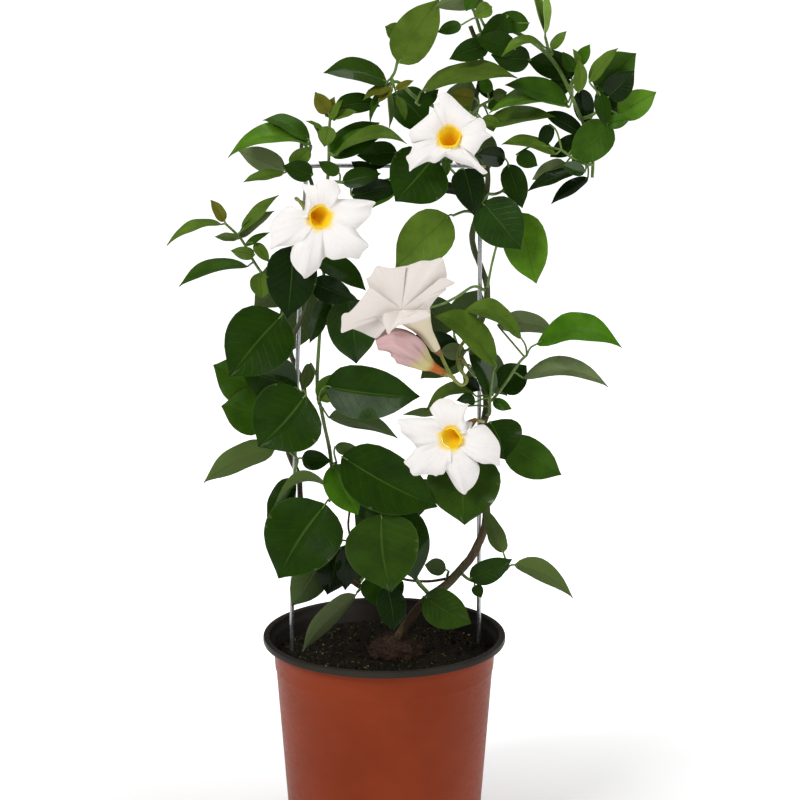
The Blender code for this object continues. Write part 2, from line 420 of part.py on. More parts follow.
def cut(target, cutter_meshes):
    """Takes closed shapes out of a body."""
    others = [object_from(target.name + "_cutter", m, target.data.materials[0], cutters) for m in cutter_meshes]
    for other in others:
        other.hide_render = True
        other.display_type = "WIRE"
        take = target.modifiers.new("cut", "BOOLEAN")
        take.operation = "DIFFERENCE"
        take.solver = "EXACT"
        take.object = other


def turned(name, profile, steps, material):
    """A round body turned about the Z axis from a closed profile of (radius, height) in millimetres."""
    mesh = bpy.data.meshes.new(name)
    points = [(r * MM, 0.0, z * MM) for r, z in profile]
    edges = [(i, i + 1) for i in range(len(points) - 1)]
    if profile[0][0] > 0:
        edges.append((len(points) - 1, 0))
    mesh.from_pydata(points, edges, [])
    made = object_from(name, mesh, material, parts)
    spin = made.modifiers.new("turn", "SCREW")
    spin.axis = "Z"
    spin.steps = steps
    spin.render_steps = steps
    spin.use_merge_vertices = True
    spin.merge_threshold = 0.00001
    spin.use_smooth_shade = True
    spin.use_normal_calculate = True
    return made


def straight_rod(bottom, top, radius, sides=16):
    along = (top - bottom).normalized()
    return loft("rod", [ring_around(bottom, along, radius, sides), ring_around(top, along, radius, sides)])


def vine_path(steps):
    """World points of a vine, with its twining stretches worked out."""
    path = []
    for step in steps:
        if step[0] == "twine":
            _, x, y, low, high, turn, pitch = step
            count = int((high - low) / pitch * 6) + 1
            for i in range(count + 1):
                height = low + (high - low) * i / count
                wire = wire_at(x > 0, height)
                angle = radians(turn + 360 * (height - low) / pitch)
                path.append(wire + Vector((cos(angle) * TWINE_R, sin(angle) * TWINE_R, 0)))
        else:
            path.append(seen(*step))
    return path


def wire_at(right, height):
    """The line that the vines twine about, at a height as seen, on its right or its left side."""
    points = GUIDE[-8:] if right else GUIDE[:8]
    points = sorted(points, key=lambda p: p[1])
    for low, high in zip(points, points[1:]):
        if low[1] <= height <= high[1]:
            part = (height - low[1]) / (high[1] - low[1])
            return seen(low[0] + (high[0] - low[0]) * part, height, low[2] + (high[2] - low[2]) * part)
    return seen(points[-1][0], height, points[-1][2])


def nearest_on(path, point):
    """The nearest place on a path, and how far along it is from 0 to 1."""
    best = None
    for i, (a, b) in enumerate(zip(path, path[1:])):
        part = max(0.0, min(1.0, (point - a).dot(b - a) / (b - a).length_squared))
        place = a + (b - a) * part
        away = (point - place).length
        if best is None or away < best[0]:
            best = (away, place, (i + part) / (len(path) - 1))
    return best[1], best[2]


def branch_start(parent, point):
    """Where a shoot leaves the skin of its parent vine on its way to a point."""
    path, start_r, end_r = built_vines[parent]
    place, part = nearest_on(path, point)
    away = (point - place).normalized()
    return place + away * (start_r + (end_r - start_r) * part + GAP)


def leaf_frame(base, tip, width, ratio, look):
    """The blade's length, real half width, and its directions along, across and out of the upper face."""
    along = tip - base
    length = along.length
    along.normalize()
    to_eye = (EYE - (base + tip) / 2).normalized()
    facing = (to_eye - along * to_eye.dot(along)).normalized()
    side = along.cross(facing)
    if side.dot(Vector((0.35, 0, 1))) < 0:
        side = -side
    real = max(width, ratio * length)
    turn = acos(min(1.0, width / real))
    if look == "u":
        turn = pi - turn
    normal = facing * cos(turn) + side * sin(turn)
    return length, real / 2, along, normal.cross(along), normal


def blade(base, tip, width, look, arch, sections, ratio=NATURAL_RATIO, lift=0.14, thick=BLADE):
    """A leaf or a petal with a thin lens section, cut square at its base and pointed at its tip."""
    _, half, _, across, normal = leaf_frame(base, tip, width, ratio, look)
    rings = []
    for part, wide in sections:
        centre = base + (tip - base) * part + WORLD_UP * arch * 4 * part * (1 - part)
        reach = half * wide
        rise = normal * reach * lift
        rings.append([centre + across * reach + rise, centre + normal * thick / 2, centre - across * reach + rise,
                      centre - normal * thick / 2])
    return loft("blade", rings, tip)


def petiole(start, base, tip, arch):
    """A leaf's stalk, which ends a little way up the midrib."""
    part = 2.4 / (tip - base).length + LEAF_SECTIONS[0][0]
    end = base + (tip - base) * part + WORLD_UP * arch * 4 * part * (1 - part)
    return tube("petiole", [start, end], PETIOLE_R, PETIOLE_R * 0.9, 4)


def build_pot():
    wall = [(84.2, 150.0), (85.0, 149.2), (85.0, 146.4), (84.2, 145.6), (79.6, 145.2), (78.2, 142.0), (77.9, 138.8),
            (77.5, 138.4), (76.6, 126.4), (76.1, 125.8), (66.9, 1.0), (66.3, 0.0), (0.0, 0.0), (0.0, 1.8),
            (65.0, 1.8), (76.6, 141.6), (78.2, 144.4), (80.0, 146.0), (80.4, 149.4), (81.0, 150.0)]
    mesh_profile = wall[13:] + wall[:13]
    pot = turned("pot", mesh_profile, POT_STEPS, materials["pot"])
    holes = []
    for i in range(DRAINS):
        angle = 2 * pi * (i + 0.5) / DRAINS
        centre = Vector((DRAIN_RING * cos(angle), DRAIN_RING * sin(angle), 0))
        holes.append(straight_rod(centre - WORLD_UP * 5, centre + WORLD_UP * 7, DRAIN_R, 12))
    cut(pot, holes)


def build_soil():
    profile = [(0.0, 136.4), (18.0, 136.6), (40.0, 135.8), (60.0, 136.6), (72.0, 135.6), (75.6, 134.6), (64.7, 2.2),
               (0.0, 2.2)]
    soil = turned("soil", profile, POT_STEPS, materials["soil"])
    legs = []
    for right in (False, True):
        low = HOOP[-1] if right else HOOP[0]
        high = HOOP[-2] if right else HOOP[1]
        bottom = leg_point(low, high, LEG_BOTTOM - 1.0)
        top = leg_point(low, high, 150.0)
        legs.append(straight_rod(bottom, top, WIRE_R + GAP, 10))
    cut(soil, legs)


def leg_point(low, high, height):
    """The place on a leg's straight line at a real height."""
    a = seen(*low)
    b = seen(*high)
    return a + (b - a) * ((height - a.z) / (b.z - a.z))


def build_hoop():
    path = [leg_point(HOOP[0], HOOP[1], LEG_BOTTOM)]
    path += [seen(*p) for p in HOOP[1:-1]]
    path.append(leg_point(HOOP[-1], HOOP[-2], LEG_BOTTOM))
    object_from("wire_hoop", tube("wire_hoop", path, WIRE_R, WIRE_R, 8), materials["wire"], parts, True)


def build_vines():
    for name, (parent, start_r, end_r, look, steps) in VINES.items():
        path = vine_path(steps)
        if parent is not None:
            path[0] = branch_start(parent, path[1])
        built_vines[name] = (path, start_r, end_r)
        skins = [tube(name, path, start_r, end_r, 6)]
        if parent is None:
            skins.append(crown_skin())
        merged(name, skins, materials[look], parts)


def crown_skin():
    """The fibrous lump at the foot of the plant, flat where it sits on the soil."""
    centre = Vector((8.0, -4.0, 141.0))
    rings = []
    for level, reach in ((-4.2, 0.86), (-1.5, 1.0), (3.0, 0.86), (6.5, 0.52)):
        ring = []
        for i in range(12):
            angle = 2 * pi * i / 12
            bump = 1.0 + 0.10 * sin(3 * angle + level) + 0.06 * cos(5 * angle)
            ring.append(centre + Vector((20 * reach * bump * cos(angle), 14 * reach * bump * sin(angle), level)))
        rings.append(ring)
    return loft("crown", rings, centre + WORLD_UP * 9.0)


def build_sprays():
    for name, (parent, shoot, leaves) in SPRAYS.items():
        path = [seen(*p) for p in shoot]
        path[0] = branch_start(parent, path[1])
        skins = [tube(name, path, SHOOT_R, SHOOT_R * 0.8, 5)]
        inner_end = path[-1] + (path[-2] - path[-1]).normalized() * 1.5
        carrier = [path[0].lerp(path[1], 0.6)] + path[1:-1] + [inner_end]
        rows = leaves + SMALL_LEAVES.get(name, [])
        for i, (bx, bz, tx, tz, width, depth, change, look, arch, _tone) in enumerate(rows):
            base = seen(bx, bz, depth)
            tip = seen(tx, tz, depth + change)
            stalk, _ = nearest_on(carrier, base)
            stalk = stalk + Vector((0.11, -0.07, 0.13)) * (i - 2)
            if (base - stalk).length < CLEAR_BASE:
                base = base + (tip - base).normalized() * CLEAR_BASE
            skins.append(petiole(stalk, base, tip, arch))
            skins.append(blade(base, tip, width, look, arch, LEAF_SECTIONS))
        merged(name, skins, materials["leaf"], parts)


def build_flowers():
    for name, (throat, calyx, radius, petals) in FLOWERS.items():
        mouth = seen(*throat)
        foot = seen(*calyx)
        along = (mouth - foot).normalized()
        start = foot + along * GAP
        span = (mouth - foot).length
        shape = ((0.0, 2.2), (0.30, 2.6), (0.62, radius * 0.55), (0.92, radius), (1.04, radius * 0.96))
        rings = [ring_around(start + along * span * part, along, r, 8) for part, r in shape]
        skins = [loft(name, rings)]
        for tx, tz, width, nearer in petals:
            tip = seen(tx, tz, throat[2] - nearer)
            skins.append(blade(mouth, tip, width, "f", 0, PETAL_SECTIONS, ratio=0.2, lift=-0.08, thick=1.2))
        merged(name, skins, materials["petal"], parts)
    for name, (parent, radius, path, end) in STALKS.items():
        points = [seen(*p) for p in path] + [seen(*end[0])]
        points[0] = branch_start(parent, points[1])
        built_vines[name] = (points, radius, radius)
        flower = name.replace("_stalk", "")
        mouth = seen(*FLOWERS[flower][0])
        foot = points[-1]
        along = (mouth - foot).normalized()
        cup = [ring_around(foot - along * 6, along, 1.2, 6), ring_around(foot - along * 3.5, along, 2.6, 6),
               ring_around(foot, along, 2.5, 6)]
        points[-1] = foot - along * 5
        merged(name, [tube(name, points, radius, radius, 6), loft("cup", cup)], materials["calyx"], parts)


def build_spent_flower():
    path = [seen(x, z, y) for x, z, y, _ in SPENT_FLOWER]
    rings = []
    for i, (point, row) in enumerate(zip(path, SPENT_FLOWER)):
        along = (path[min(i + 1, len(path) - 1)] - path[max(i - 1, 0)]).normalized()
        rings.append(ring_around(point, along, row[3], 8))
    stalk = [seen(*p) for p in SPENT_STALK] + [path[0], path[1]]
    stalk.insert(0, branch_start("cream_flower_stalk", stalk[0]))
    merged("spent_flower", [loft("spent_flower", rings), tube("stalk", stalk, 1.1, 1.1, 6)],
           materials["spent_petal"], parts)


for old in list(bpy.data.objects):
    bpy.data.objects.remove(old)
parts = collection("mandevilla")
cutters = collection("cutters")
materials = {name: make_material(name) for name in LOOKS}
built_vines = {}
build_pot()
build_soil()
build_hoop()
build_vines()
build_sprays()
build_flowers()
build_spent_flower()
print(len(parts.objects), "nodes")
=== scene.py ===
# %% Start
import bpy
import bmesh
from math import acos, cos, pi, radians, sin
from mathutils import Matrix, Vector, noise


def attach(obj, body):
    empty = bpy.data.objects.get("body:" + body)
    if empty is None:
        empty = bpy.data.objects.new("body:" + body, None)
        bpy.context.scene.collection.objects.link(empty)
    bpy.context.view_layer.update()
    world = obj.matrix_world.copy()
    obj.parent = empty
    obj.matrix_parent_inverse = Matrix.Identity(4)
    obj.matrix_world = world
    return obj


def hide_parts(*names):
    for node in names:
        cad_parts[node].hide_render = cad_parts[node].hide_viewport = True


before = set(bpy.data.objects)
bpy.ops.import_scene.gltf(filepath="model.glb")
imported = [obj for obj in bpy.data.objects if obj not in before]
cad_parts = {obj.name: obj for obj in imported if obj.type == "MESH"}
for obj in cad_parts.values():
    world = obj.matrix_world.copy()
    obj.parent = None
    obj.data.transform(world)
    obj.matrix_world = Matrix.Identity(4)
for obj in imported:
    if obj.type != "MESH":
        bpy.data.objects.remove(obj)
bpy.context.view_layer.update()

# %% [markdown]
# A mandevilla is a climbing plant: woody vines twine round a wire hoop, and short side shoots carry glossy
# leaves in pairs and white trumpet flowers. We place everything by where the viewer sees it. `seen` turns a
# place on the upright plane through the pot's axis, in millimetres, and a depth into a point in metres, so
# a list of what is seen is also a list of real places. `table` reads such lists.

# %% Where things are seen
MM = 0.001
EYE = Vector((0.011, -1.906, 0.776))
GAP = 0.35 * MM
WORLD_UP = Vector((0, 0, 1))


def seen(x, z, y=0.0):
    """A point at depth y that the viewer sees at (x, z) on the upright plane through the pot's axis."""
    ray = Vector((x, 0.0, z)) * MM - EYE
    return EYE + ray * ((y * MM - EYE.y) / ray.y)


def table(text):
    """Rows of numbers and words. Commas part the rows and spaces part their values."""
    return [[float(word) if word.strip("-.0123456789") == "" else word for word in row.split()]
            for row in text.split(",")]


print("middle of the plant", [round(c, 3) for c in seen(0, 350)])

# %% [markdown]
# Every finish is built from nodes. Sums on node sockets are easier to read as sums, so `Wire` wraps a
# socket and lets us write 1 - mask or mask * 0.4. `Finish` makes a material with one method that adds any
# other node.


# %% A way to write shader sums
class Wire:
    """A socket that can be added, multiplied and shaped."""

    def __init__(self, finish, socket):
        self.finish = finish
        self.socket = socket

    def maths(self, operation, *values):
        return self.finish.add("ShaderNodeMath", {"operation": operation}, dict(enumerate(values)))

    def __add__(self, other):
        return self.maths("ADD", self, other)

    def __sub__(self, other):
        return self.maths("SUBTRACT", self, other)

    def __rsub__(self, other):
        return self.maths("SUBTRACT", other, self)

    def __mul__(self, other):
        return self.maths("MULTIPLY", self, other)

    __radd__ = __add__

    def size(self):
        return self.maths("ABSOLUTE", self)

    def ramp(self, low, high, start=0.0, end=1.0):
        """Runs smoothly from start to end while the value runs from low to high."""
        return self.finish.add("ShaderNodeMapRange", {"interpolation_type": "SMOOTHSTEP"}, {
            "Value": self, "From Min": low, "From Max": high, "To Min": start, "To Max": end})


class Finish:
    """A material, its nodes and its Principled shader."""

    def __init__(self, name, **settings):
        self.material = bpy.data.materials.new(name)
        self.material.use_nodes = True
        self.tree = self.material.node_tree
        self.shader = self.tree.nodes["Principled BSDF"]
        for socket, value in settings.items():
            self.shader.inputs[socket.replace("_", " ")].default_value = value

    def add(self, kind, settings=None, values=None, output=0):
        node = self.tree.nodes.new(kind)
        for key, value in (settings or {}).items():
            setattr(node, key, value)
        for key, value in (values or {}).items():
            self.feed(node.inputs[key], value)
        return Wire(self, node.outputs[output])

    def feed(self, socket, value):
        if isinstance(value, Wire):
            self.tree.links.new(value.socket, socket)
        else:
            socket.default_value = value

    def into(self, name, value):
        self.feed(self.shader.inputs[name], value)

    def place(self):
        return self.add("ShaderNodeTexCoord", output="Object")

    def leaf_map(self):
        return self.add("ShaderNodeUVMap", {"uv_map": "leaf_map"})

    def split(self, vector):
        first = self.add("ShaderNodeSeparateXYZ", {}, {"Vector": vector})
        return [Wire(self, output) for output in first.socket.node.outputs]

    def stored(self, name, output="Fac"):
        return self.add("ShaderNodeAttribute", {"attribute_name": name}, output=output)

    def grain(self, scale, detail=4.0, rough=0.55, stretch=None):
        vector = self.place()
        if stretch:
            vector = self.add("ShaderNodeMapping", {}, {"Vector": vector, "Scale": stretch})
        return self.add("ShaderNodeTexNoise", {}, {"Vector": vector, "Scale": scale, "Detail": detail,
                                                   "Roughness": rough})

    def blend(self, factor, first, second, way="MIX"):
        node = self.tree.nodes.new("ShaderNodeMix")
        node.data_type = "RGBA"
        node.blend_type = way
        self.feed(node.inputs["Factor"], factor)
        for index, value in ((6, first), (7, second)):
            self.feed(node.inputs[index], value if isinstance(value, Wire) else (*value[:3], 1.0))
        return Wire(self, node.outputs[2])

    def bump(self, height, distance):
        self.into("Normal", self.add("ShaderNodeBump", {}, {"Height": height, "Distance": distance}))

    def weather(self, grain, smooth, rough, relief):
        """Roughness and relief that follow a grain."""
        self.into("Roughness", grain.ramp(0.3, 0.7, smooth, rough))
        self.bump(grain, relief)


print("shader helpers ready")

# %% [markdown]
# A mandevilla leaf is deep green and glossy above, with a pale midrib, faint curved side veins and a thin
# edge, and a dull grey-green underside. The pattern follows the leaf, so it reads the leaf's own UV map: U
# runs from stalk to tip and V from edge to edge. The leaf's own shade comes from an attribute, so that one
# material serves them all.

# %% Leaf finish
leaf = Finish("leaf_gloss", Roughness=0.3, Specular_IOR_Level=0.06)
along, edge_to_edge, _ = leaf.split(leaf.leaf_map())
across = (edge_to_edge - 0.5).size() * 2.0
tone = leaf.stored("tone", "Color")
under = leaf.stored("under")
sheen = leaf.stored("sheen")
midrib = 1.0 - across.ramp(0.012, 0.045)
margin = across.ramp(0.955, 0.985)
vein_phase = leaf.add("ShaderNodeMath", {"operation": "FRACT"}, {0: along * 9.0 - across * 2.2 + 20.0})
veins = 1.0 - (vein_phase - 0.5).size().ramp(0.0, 0.10)
veins = veins * across.ramp(0.05, 0.2) * (1.0 - across.ramp(0.75, 0.95))
mottle = leaf.grain(70.0, 4.0)
fine = leaf.grain(900.0, 2.0)
upper = leaf.blend(mottle.ramp(0.35, 0.7) * 0.6, tone, (0.45, 0.52, 0.4), "MULTIPLY")
upper = leaf.blend(veins * 0.045, upper, (0.10, 0.17, 0.04))
upper = leaf.blend(midrib * (1.0 - along * 0.6) * 0.45, upper, (0.090, 0.170, 0.025))
upper = leaf.blend(margin * 0.16, upper, (0.12, 0.20, 0.05))
lower = leaf.blend(0.55, tone, (0.085, 0.115, 0.045))
lower = leaf.blend(veins * 0.15 + midrib * 0.5, lower, (0.15, 0.19, 0.08))
leaf.into("Base Color", leaf.blend(under, upper, lower))
leaf.into("Roughness", under * 0.35 + mottle.ramp(0.3, 0.7, 0.26, 0.40) - sheen * 0.08)
leaf.into("Coat Weight", (1.0 - under) * (0.035 + sheen * 0.30))
leaf.bump(midrib * -0.8 - veins * 0.15 + fine * 0.12 + mottle * 1.2, 0.0004)
print(leaf.material.name)

# %% [markdown]
# Stems come in two kinds. Old wood is brown and finely ridged, greener high up and darker near the soil.
# Young growth is smooth green that browns where it is older. Both use noise stretched up the plant, on
# Object coordinates.

# %% Stem finishes
bark = Finish("stem_bark", Roughness=0.75)
ridges = bark.grain(520.0, 6.0, 0.65, (1.0, 1.0, 0.25))
patches = bark.grain(60.0, 3.0)
above = bark.split(bark.place())[2]
wood = bark.blend(ridges.ramp(0.35, 0.65), (0.045, 0.022, 0.010), (0.135, 0.085, 0.035))
wood = bark.blend(above.ramp(0.28, 0.36) * 0.8, wood, (0.055, 0.085, 0.020))
wood = bark.blend((1.0 - above.ramp(0.138, 0.160)) * 0.75, wood, (0.022, 0.011, 0.005))
bark.into("Base Color", bark.blend(patches.ramp(0.45, 0.65) * 0.55, wood, (0.075, 0.085, 0.022)))
bark.weather(ridges, 0.6, 0.85, 0.0006)

green = Finish("stem_green", Roughness=0.45)
streaks = green.grain(300.0, 4.0, 0.6, (1.0, 1.0, 0.3))
browning = green.grain(25.0, 3.0)
skin = green.blend(streaks.ramp(0.3, 0.7), (0.095, 0.180, 0.026), (0.175, 0.285, 0.055))
green.into("Base Color", green.blend(browning.ramp(0.5, 0.7) * 0.45, skin, (0.095, 0.075, 0.020)))
green.weather(streaks, 0.38, 0.55, 0.0002)

petiole_skin = Finish("petiole_green", Roughness=0.4)
pale = petiole_skin.grain(250.0, 3.0)
petiole_shade = petiole_skin.blend(pale.ramp(0.3, 0.7), (0.080, 0.165, 0.020), (0.150, 0.240, 0.045))
petiole_skin.into("Base Color", petiole_shade)
petiole_skin.weather(pale, 0.35, 0.5, 0.0001)
print("stem finishes")

# %% [markdown]
# The pot is thin injection-moulded plastic, terracotta-brown outside with a nearly black rim. It has fine
# scuffs, a little dust and faint turning lines. The dark band is a matter of height and radius, so Object
# coordinates give it.

# %% Pot finish
pot_plastic = Finish("pot_plastic", Roughness=0.42, Specular_IOR_Level=0.07)
out_x, out_y, height = pot_plastic.split(pot_plastic.place())
radius_out = pot_plastic.add("ShaderNodeMath", {"operation": "POWER"}, {
    0: out_x * out_x + out_y * out_y, 1: 0.5})
wall_radius = 0.06549 + height * 0.0826 + height.ramp(0.142, 0.144) * 0.0014
inside = 1.0 - (radius_out - wall_radius).ramp(-0.00004, 0.00004)
rim_band = height.ramp(0.1438, 0.1442)
dark = rim_band + inside - rim_band * inside
cloud = pot_plastic.grain(14.0, 4.0)
speck = pot_plastic.grain(1600.0, 2.0)
scuff = pot_plastic.grain(120.0, 6.0, 0.7, (1.0, 1.0, 5.0))
clay = pot_plastic.blend(cloud.ramp(0.35, 0.65), (0.225, 0.034, 0.009), (0.262, 0.041, 0.012))
clay = pot_plastic.blend(scuff.ramp(0.64, 0.80) * 0.12, clay, (0.34, 0.12, 0.075))
clay = pot_plastic.blend(speck.ramp(0.70, 0.80) * 0.12, clay, (0.45, 0.28, 0.20))
rim = pot_plastic.blend(cloud.ramp(0.3, 0.7), (0.019, 0.016, 0.013), (0.034, 0.029, 0.024))
rim = pot_plastic.blend(scuff.ramp(0.55, 0.75) * 0.3, rim, (0.060, 0.054, 0.045))
pot_plastic.into("Base Color", pot_plastic.blend(dark, clay, rim))
pot_plastic.into("Roughness", scuff.ramp(0.4, 0.8, 0.38, 0.56))
pot_plastic.bump(scuff * 0.4 + speck * 0.3 + cloud * 0.6, 0.00018)
print(pot_plastic.material.name)

# %% [markdown]
# Potting soil is damp dark peat with crumbs, bark bits and a few pale grains. The ground under the crumbs
# and the crumbs share one finish. A random number for each crumb, stored by Geometry Nodes, picks its
# shade.

# %% Soil finish
peat = Finish("peat", Roughness=0.9, Specular_IOR_Level=0.12)
lumps = peat.grain(260.0, 8.0, 0.7)
chosen = peat.stored("crumb_shade")
ground = peat.blend(lumps.ramp(0.35, 0.7), (0.0022, 0.0018, 0.0012), (0.026, 0.021, 0.011))
ground = peat.blend(chosen.ramp(0.70, 0.76), ground, (0.050, 0.030, 0.013))
ground = peat.blend(chosen.ramp(0.900, 0.905), ground, (0.085, 0.095, 0.022))
ground = peat.blend(chosen.ramp(0.988, 0.990), ground, (0.34, 0.31, 0.20))
peat.into("Base Color", ground)
peat.weather(lumps, 0.55, 0.95, 0.0020)
print(peat.material.name)

# %% [markdown]
# The hoop is dull galvanised wire with a faint spangle. Petals are soft white with a faint pink tint and
# painted crease shade, a darker pink-grey along their folds and crinkles, and a yellow throat that deepens
# to orange inside. The petal's own UV map runs from the throat to the tip.

# %% Wire and petal finishes
zinc = Finish("galvanised_wire", Metallic=1.0, Roughness=0.38)
spangle = zinc.grain(450.0, 5.0)
stain = zinc.grain(60.0, 3.0)
zinc_shade = zinc.blend(spangle.ramp(0.3, 0.7), (0.46, 0.47, 0.49), (0.60, 0.61, 0.63))
zinc.into("Base Color", zinc.blend(stain.ramp(0.5, 0.7) * 0.35, zinc_shade, (0.24, 0.23, 0.22)))
zinc.weather(spangle, 0.32, 0.5, 0.0001)


def petal_finish(name, body, fold_shade_colour, throat, deep, throat_start, throat_end):
    made = Finish(name, Roughness=0.55, Specular_IOR_Level=0.25, Subsurface_Weight=0.12,
                  Subsurface_Scale=0.004, Subsurface_Radius=(1.0, 0.9, 0.8))
    out, side, _ = made.split(made.leaf_map())
    crinkle = made.grain(160.0, 5.0)
    lines = made.add("ShaderNodeTexNoise", {"noise_dimensions": "2D"}, {
        "Vector": made.add("ShaderNodeCombineXYZ", {}, {"X": out * 1.5, "Y": side * 26.0}), "Scale": 1.0,
        "Detail": 3.0})
    # Painted crease shade with a faint pink tint: the petal darkens to the fold colour along its radial lines and
    # crinkles, where its bump puts folds.
    base = made.blend(lines.ramp(0.42, 0.68) * 0.22, body, fold_shade_colour)
    base = made.blend(crinkle.ramp(0.55, 0.75) * 0.25, base, fold_shade_colour)
    yellow = made.blend(1.0 - out.ramp(throat_start * 0.45, throat_start * 0.95), throat, deep)
    made.into("Base Color", made.blend(1.0 - out.ramp(throat_start, throat_end), base, yellow))
    made.into("Roughness", crinkle.ramp(0.3, 0.7, 0.48, 0.65))
    made.bump(lines * 0.5 + crinkle * 0.5, 0.0002)
    return made.material


# The second colour of each petal is its painted fold shade.
white_petal = petal_finish("white_petal", (0.97, 0.93, 0.90), (0.84, 0.78, 0.76), (1.00, 0.72, 0.02),
                           (1.00, 0.56, 0.005), 0.205, 0.345)
cream_petal = petal_finish("cream_petal", (0.82, 0.745, 0.69), (0.74, 0.66, 0.60), (0.78, 0.68, 0.42),
                           (0.70, 0.52, 0.20), 0.12, 0.34)
wilted_petal = petal_finish("wilted_petal", (0.64, 0.42, 0.41), (0.48, 0.27, 0.28), (0.62, 0.55, 0.24),
                            (0.50, 0.13, 0.015), 0.36, 0.56)
sepal = Finish("sepal_skin", Roughness=0.5)
ripening = sepal.grain(220.0, 3.0)
young_skin = sepal.blend(ripening.ramp(0.3, 0.7), (0.19, 0.24, 0.035), (0.30, 0.30, 0.06))
sepal.into("Base Color", sepal.blend(sepal.stored("ripe"), young_skin, (0.30, 0.075, 0.012)))
sepal.weather(ripening, 0.4, 0.6, 0.00015)
print("wire, petal and sepal finishes")

# %% [markdown]
# Finished pieces are plain meshes at the origin.


# %% Making a finished piece
def placed(name, data):
    made = bpy.data.objects.new(name, data)
    bpy.context.scene.collection.objects.link(made)
    return made


def finished_piece(name, mesh, materials, node, slot, smooth=True):
    piece = placed(name, mesh)
    if materials:
        slots = [face.material_index for face in mesh.polygons]
        mesh.materials.clear()
        for material in materials:
            mesh.materials.append(material)
        mesh.polygons.foreach_set("material_index", [min(index, len(materials) - 1) for index in slots])
    if smooth:
        mesh.shade_smooth()
        mesh.set_sharp_from_angle(angle=radians(70))
    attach(piece, "root")
    if node:
        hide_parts(node)


def face_out(mesh):
    """Turns each closed skin of a mesh outwards."""
    work = bmesh.new()
    work.from_mesh(mesh)
    bmesh.ops.recalc_face_normals(work, faces=work.faces)
    work.to_mesh(mesh)
    work.free()


def plain_mesh(carrier):
    """The mesh of an object with its modifiers done. The object is dropped."""
    bpy.context.view_layer.update()
    mesh = bpy.data.meshes.new_from_object(carrier.evaluated_get(bpy.context.evaluated_depsgraph_get()))
    bpy.data.objects.remove(carrier)
    return mesh


def smooth_path(points, steps):
    """Points on a smooth curve through the given ones."""
    path = []
    for i in range(len(points) - 1):
        a, b, c, d = points[max(i - 1, 0)], points[i], points[i + 1], points[min(i + 2, len(points) - 1)]
        for k in range(steps):
            t = k / steps
            path.append(0.5 * (2 * b + (c - a) * t + (2 * a - 5 * b + 4 * c - d) * t * t
                               + (3 * b - 3 * c + d - a) * t ** 3))
    return path + [points[-1]]


print("piece helpers ready")

# %% [markdown]
# Geometry Nodes does three jobs here: it sweeps stems, scatters crumbs and lays fibres. `node_tree` builds
# such a tree from its inputs, its nodes and its links, and `grown` runs trees on an object. The first tree
# sweeps a round profile along any curve, swells it a little with noise so that it looks grown, and closes
# its ends.


# %% Growing with Geometry Nodes
def ends(key):
    """Parts the title of a node from the name or the number of its socket."""
    title, place = key.strip().split(".")
    return title, int(place) if place.isdigit() else place


def node_tree(name, inputs, nodes, settings, values, links):
    """A tree that ends by making everything real and painting it, and the identifiers of its inputs."""
    tree = bpy.data.node_groups.new(name, "GeometryNodeTree")
    new_socket = tree.interface.new_socket
    new_socket("Geometry", in_out="INPUT", socket_type="NodeSocketGeometry")
    keys = [new_socket(title, in_out="INPUT", socket_type="NodeSocket" + kind).identifier
            for title, kind in inputs.items()]
    new_socket("Geometry", in_out="OUTPUT", socket_type="NodeSocketGeometry")
    nodes += """, start NodeGroupInput, end NodeGroupOutput, real GeometryNodeRealizeInstances,
        paint GeometryNodeSetMaterial"""
    made = {title: tree.nodes.new(kind) for title, kind in table(nodes)}
    for key, value in settings.items():
        title, setting = ends(key)
        setattr(made[title], setting, value)
    for key, value in values.items():
        title, place = ends(key)
        made[title].inputs[place].default_value = value
    for link in (links + ", start.Material > paint.Material, paint.Geometry > end.Geometry").split(","):
        (giver, out), (taker, into) = map(ends, link.split(">"))
        tree.links.new(made[giver].outputs[out], made[taker].inputs[into])
    return tree, keys


def grown(name, data, tree, keys, *layers):
    """A plain mesh of the data after the tree has run on it, once for each layer of values."""
    carrier = placed(name, data)
    for values in layers:
        step = carrier.modifiers.new("grow", "NODES")
        step.node_group = tree
        for key, value in zip(keys, values):
            step[key] = value
    return plain_mesh(carrier)


stem_tree, stem_keys = node_tree(
    "sweep a stem", {"Sides": "Int", "Swell": "Float", "Swell scale": "Float", "Material": "Material"},
    """circle GeometryNodeCurvePrimitiveCircle, sweep GeometryNodeCurveToMesh,
    girth GeometryNodeInputRadius, bumps ShaderNodeTexNoise, centred ShaderNodeMath,
    amount ShaderNodeMath, outward GeometryNodeInputNormal, push ShaderNodeVectorMath,
    move GeometryNodeSetPosition""",
    {"centred.operation": "SUBTRACT", "amount.operation": "MULTIPLY", "push.operation": "SCALE"},
    {"circle.Radius": 1.0, "sweep.Fill Caps": True, "bumps.Detail": 3.0, "centred.1": 0.5},
    """start.Geometry > sweep.Curve, start.Sides > circle.Resolution,
    circle.Curve > sweep.Profile Curve, girth.0 > sweep.Scale, start.Swell scale > bumps.Scale,
    bumps.0 > centred.0, centred.0 > amount.0, start.Swell > amount.1, outward.0 > push.0,
    amount.0 > push.Scale, sweep.Mesh > move.Geometry, push.0 > move.Offset,
    move.Geometry > real.Geometry, real.Geometry > paint.Geometry""")
SWELL_SCALE = 170.0


def swept_mesh(name, path, radii, material, swell=0.0, sides=12):
    """A plain mesh of a rod along a path."""
    line = bpy.data.curves.new(name, "CURVE")
    line.dimensions = "3D"
    spline = line.splines.new("POLY")
    spline.points.add(len(path) - 1)
    for i, (point, bead) in enumerate(zip(path, spline.points)):
        bead.co = (*point, 1.0)
        bead.radius = radii(i / (len(path) - 1))
    mesh = grown(name, line, stem_tree, stem_keys, (sides, swell, SWELL_SCALE, material))
    face_out(mesh)
    return mesh


print("stem tree with", len(stem_tree.nodes), "nodes")

# %% [markdown]
# The hoop is one piece of wire: two legs that stand in the soil and lean in a little, with a straight bar
# between them on top. The same list is used for the solids, so the wire lands where they are.

